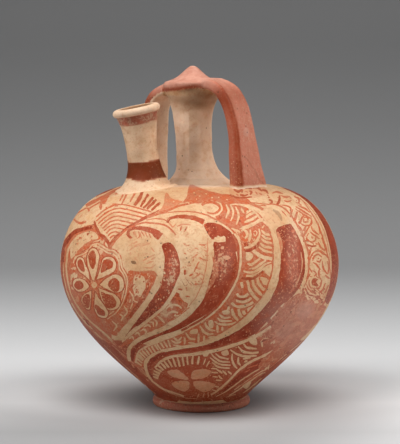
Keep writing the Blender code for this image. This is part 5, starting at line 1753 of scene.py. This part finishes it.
def paper():
    """Grey paper, with a painted shadow around the jar's foot and a painted pool of light in the near right
    corner.
    """
    material = bpy.data.materials.new("backdrop_paper")
    material.use_nodes = True
    tree = material.node_tree
    shader = tree.nodes["Principled BSDF"]
    tone = attribute_node(tree, "tone")
    spot = node(tree, "TexCoord", output="Object")
    # A painted shadow darkens the paper round the jar's foot
    painted_shadow_reach = node(tree, "VectorMath", {0: spot, 1: (0.0, -0.022, 0.0)}, operation="ADD")
    painted_shadow_reach = node(tree, "VectorMath", {0: painted_shadow_reach, 1: (8.2, 13.0, 1.0)}, operation="MULTIPLY")
    painted_shadow_reach = node(tree, "VectorMath", {0: painted_shadow_reach}, output="Value", operation="LENGTH")
    tone = math_node(tree, "MULTIPLY", tone, ramp_node(tree, painted_shadow_reach, 0.35, 1.15, 0.34, 1.0))
    # A painted pool of light brightens the near right corner
    painted_light_corner = node(tree, "VectorMath", {0: spot, 1: (1.0, -0.5, 0.0)}, output="Value", operation="DOT_PRODUCT")
    tone = math_node(tree, "MULTIPLY", tone, ramp_node(tree, painted_light_corner, 0.10, 0.26, 1.0, 1.9))
    socket(tree, shader.inputs["Base Color"], node(tree, "CombineColor", {0: tone, 1: tone, 2: tone}))
    shader.inputs["Roughness"].default_value = 0.9
    return material


def studio():
    """A pale floor that runs up into a grey backdrop, soft light from both sides and above."""
    turn = Matrix.Rotation(CAMERA_TURN, 4, "Z")
    profile = [(PAPER_FRONT, 0.0)] + [(-0.4 + 0.05 * step, 0.0) for step in range(26)]
    for step in range(1, 25):
        angle = math.radians(90 * step / 24)
        profile.append((PAPER_BEND_START + PAPER_BEND * math.sin(angle), PAPER_BEND * (1 - math.cos(angle))))
    profile.append((PAPER_BEND_START + PAPER_BEND, PAPER_TOP))
    vertices = [(x, y, z) for x in (-PAPER_HALF_WIDTH, PAPER_HALF_WIDTH) for y, z in profile]
    count = len(profile)
    mesh = bpy.data.meshes.new("backdrop")
    mesh.from_pydata(vertices, [], [(at, at + count, at + count + 1, at + 1) for at in range(count - 1)])
    tones = mesh.attributes.new("tone", "FLOAT", "POINT")
    tone_places, tone_shades = zip(*BACKDROP_PAINTED_LIGHT)
    for at, (_, y, z) in enumerate(vertices):
        tones.data[at].value = np.interp(y + z, tone_places, tone_shades)
    mesh.shade_smooth()
    mesh.materials.append(paper())
    backdrop = bpy.data.objects.new("backdrop", mesh)
    backdrop.matrix_world = turn
    bpy.context.collection.objects.link(backdrop)
    for name, place, size, power in LAMPS:
        data = bpy.data.lights.new(name, "AREA")
        data.shape = "RECTANGLE"
        data.size, data.size_y = size
        data.energy = power
        made = bpy.data.objects.new(name, data)
        made.location = turn.to_3x3() @ Vector(place)
        made.rotation_euler = (LAMP_AIM - made.location).to_track_quat("-Z", "Y").to_euler()
        bpy.context.collection.objects.link(made)
    world = bpy.data.worlds.new("studio")
    bpy.context.scene.world = world
    world.use_nodes = True
    sky = world.node_tree.nodes["Background"]
    sky.inputs["Color"].default_value = (0.82, 0.84, 0.88, 1.0)
    sky.inputs["Strength"].default_value = 0.09
    bpy.context.scene.view_settings.view_transform = "Standard"


def camera():
    """The camera that the photograph was taken with."""
    data = bpy.data.cameras.new("camera")
    data.sensor_fit = "VERTICAL"
    data.sensor_height = SENSOR_HEIGHT
    data.lens = FOCAL_PIXELS * SENSOR_HEIGHT / PICTURE_HEIGHT
    made = bpy.data.objects.new("camera", data)
    made.location = camera_frame(CAMERA_TURN)[0]
    made.rotation_euler = (math.radians(90) - CAMERA_PITCH, 0.0, CAMERA_TURN)
    bpy.context.collection.objects.link(made)
    bpy.context.scene.camera = made


camera()
studio()
body = body_shell()
wear_body(body)
jar = jar_object([body, upper_shell(), spout_shell(), foot_shell(), inside_shell()])
jar.data.materials.append(painted_clay())
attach(jar, "root")
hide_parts("stirrup_jar")
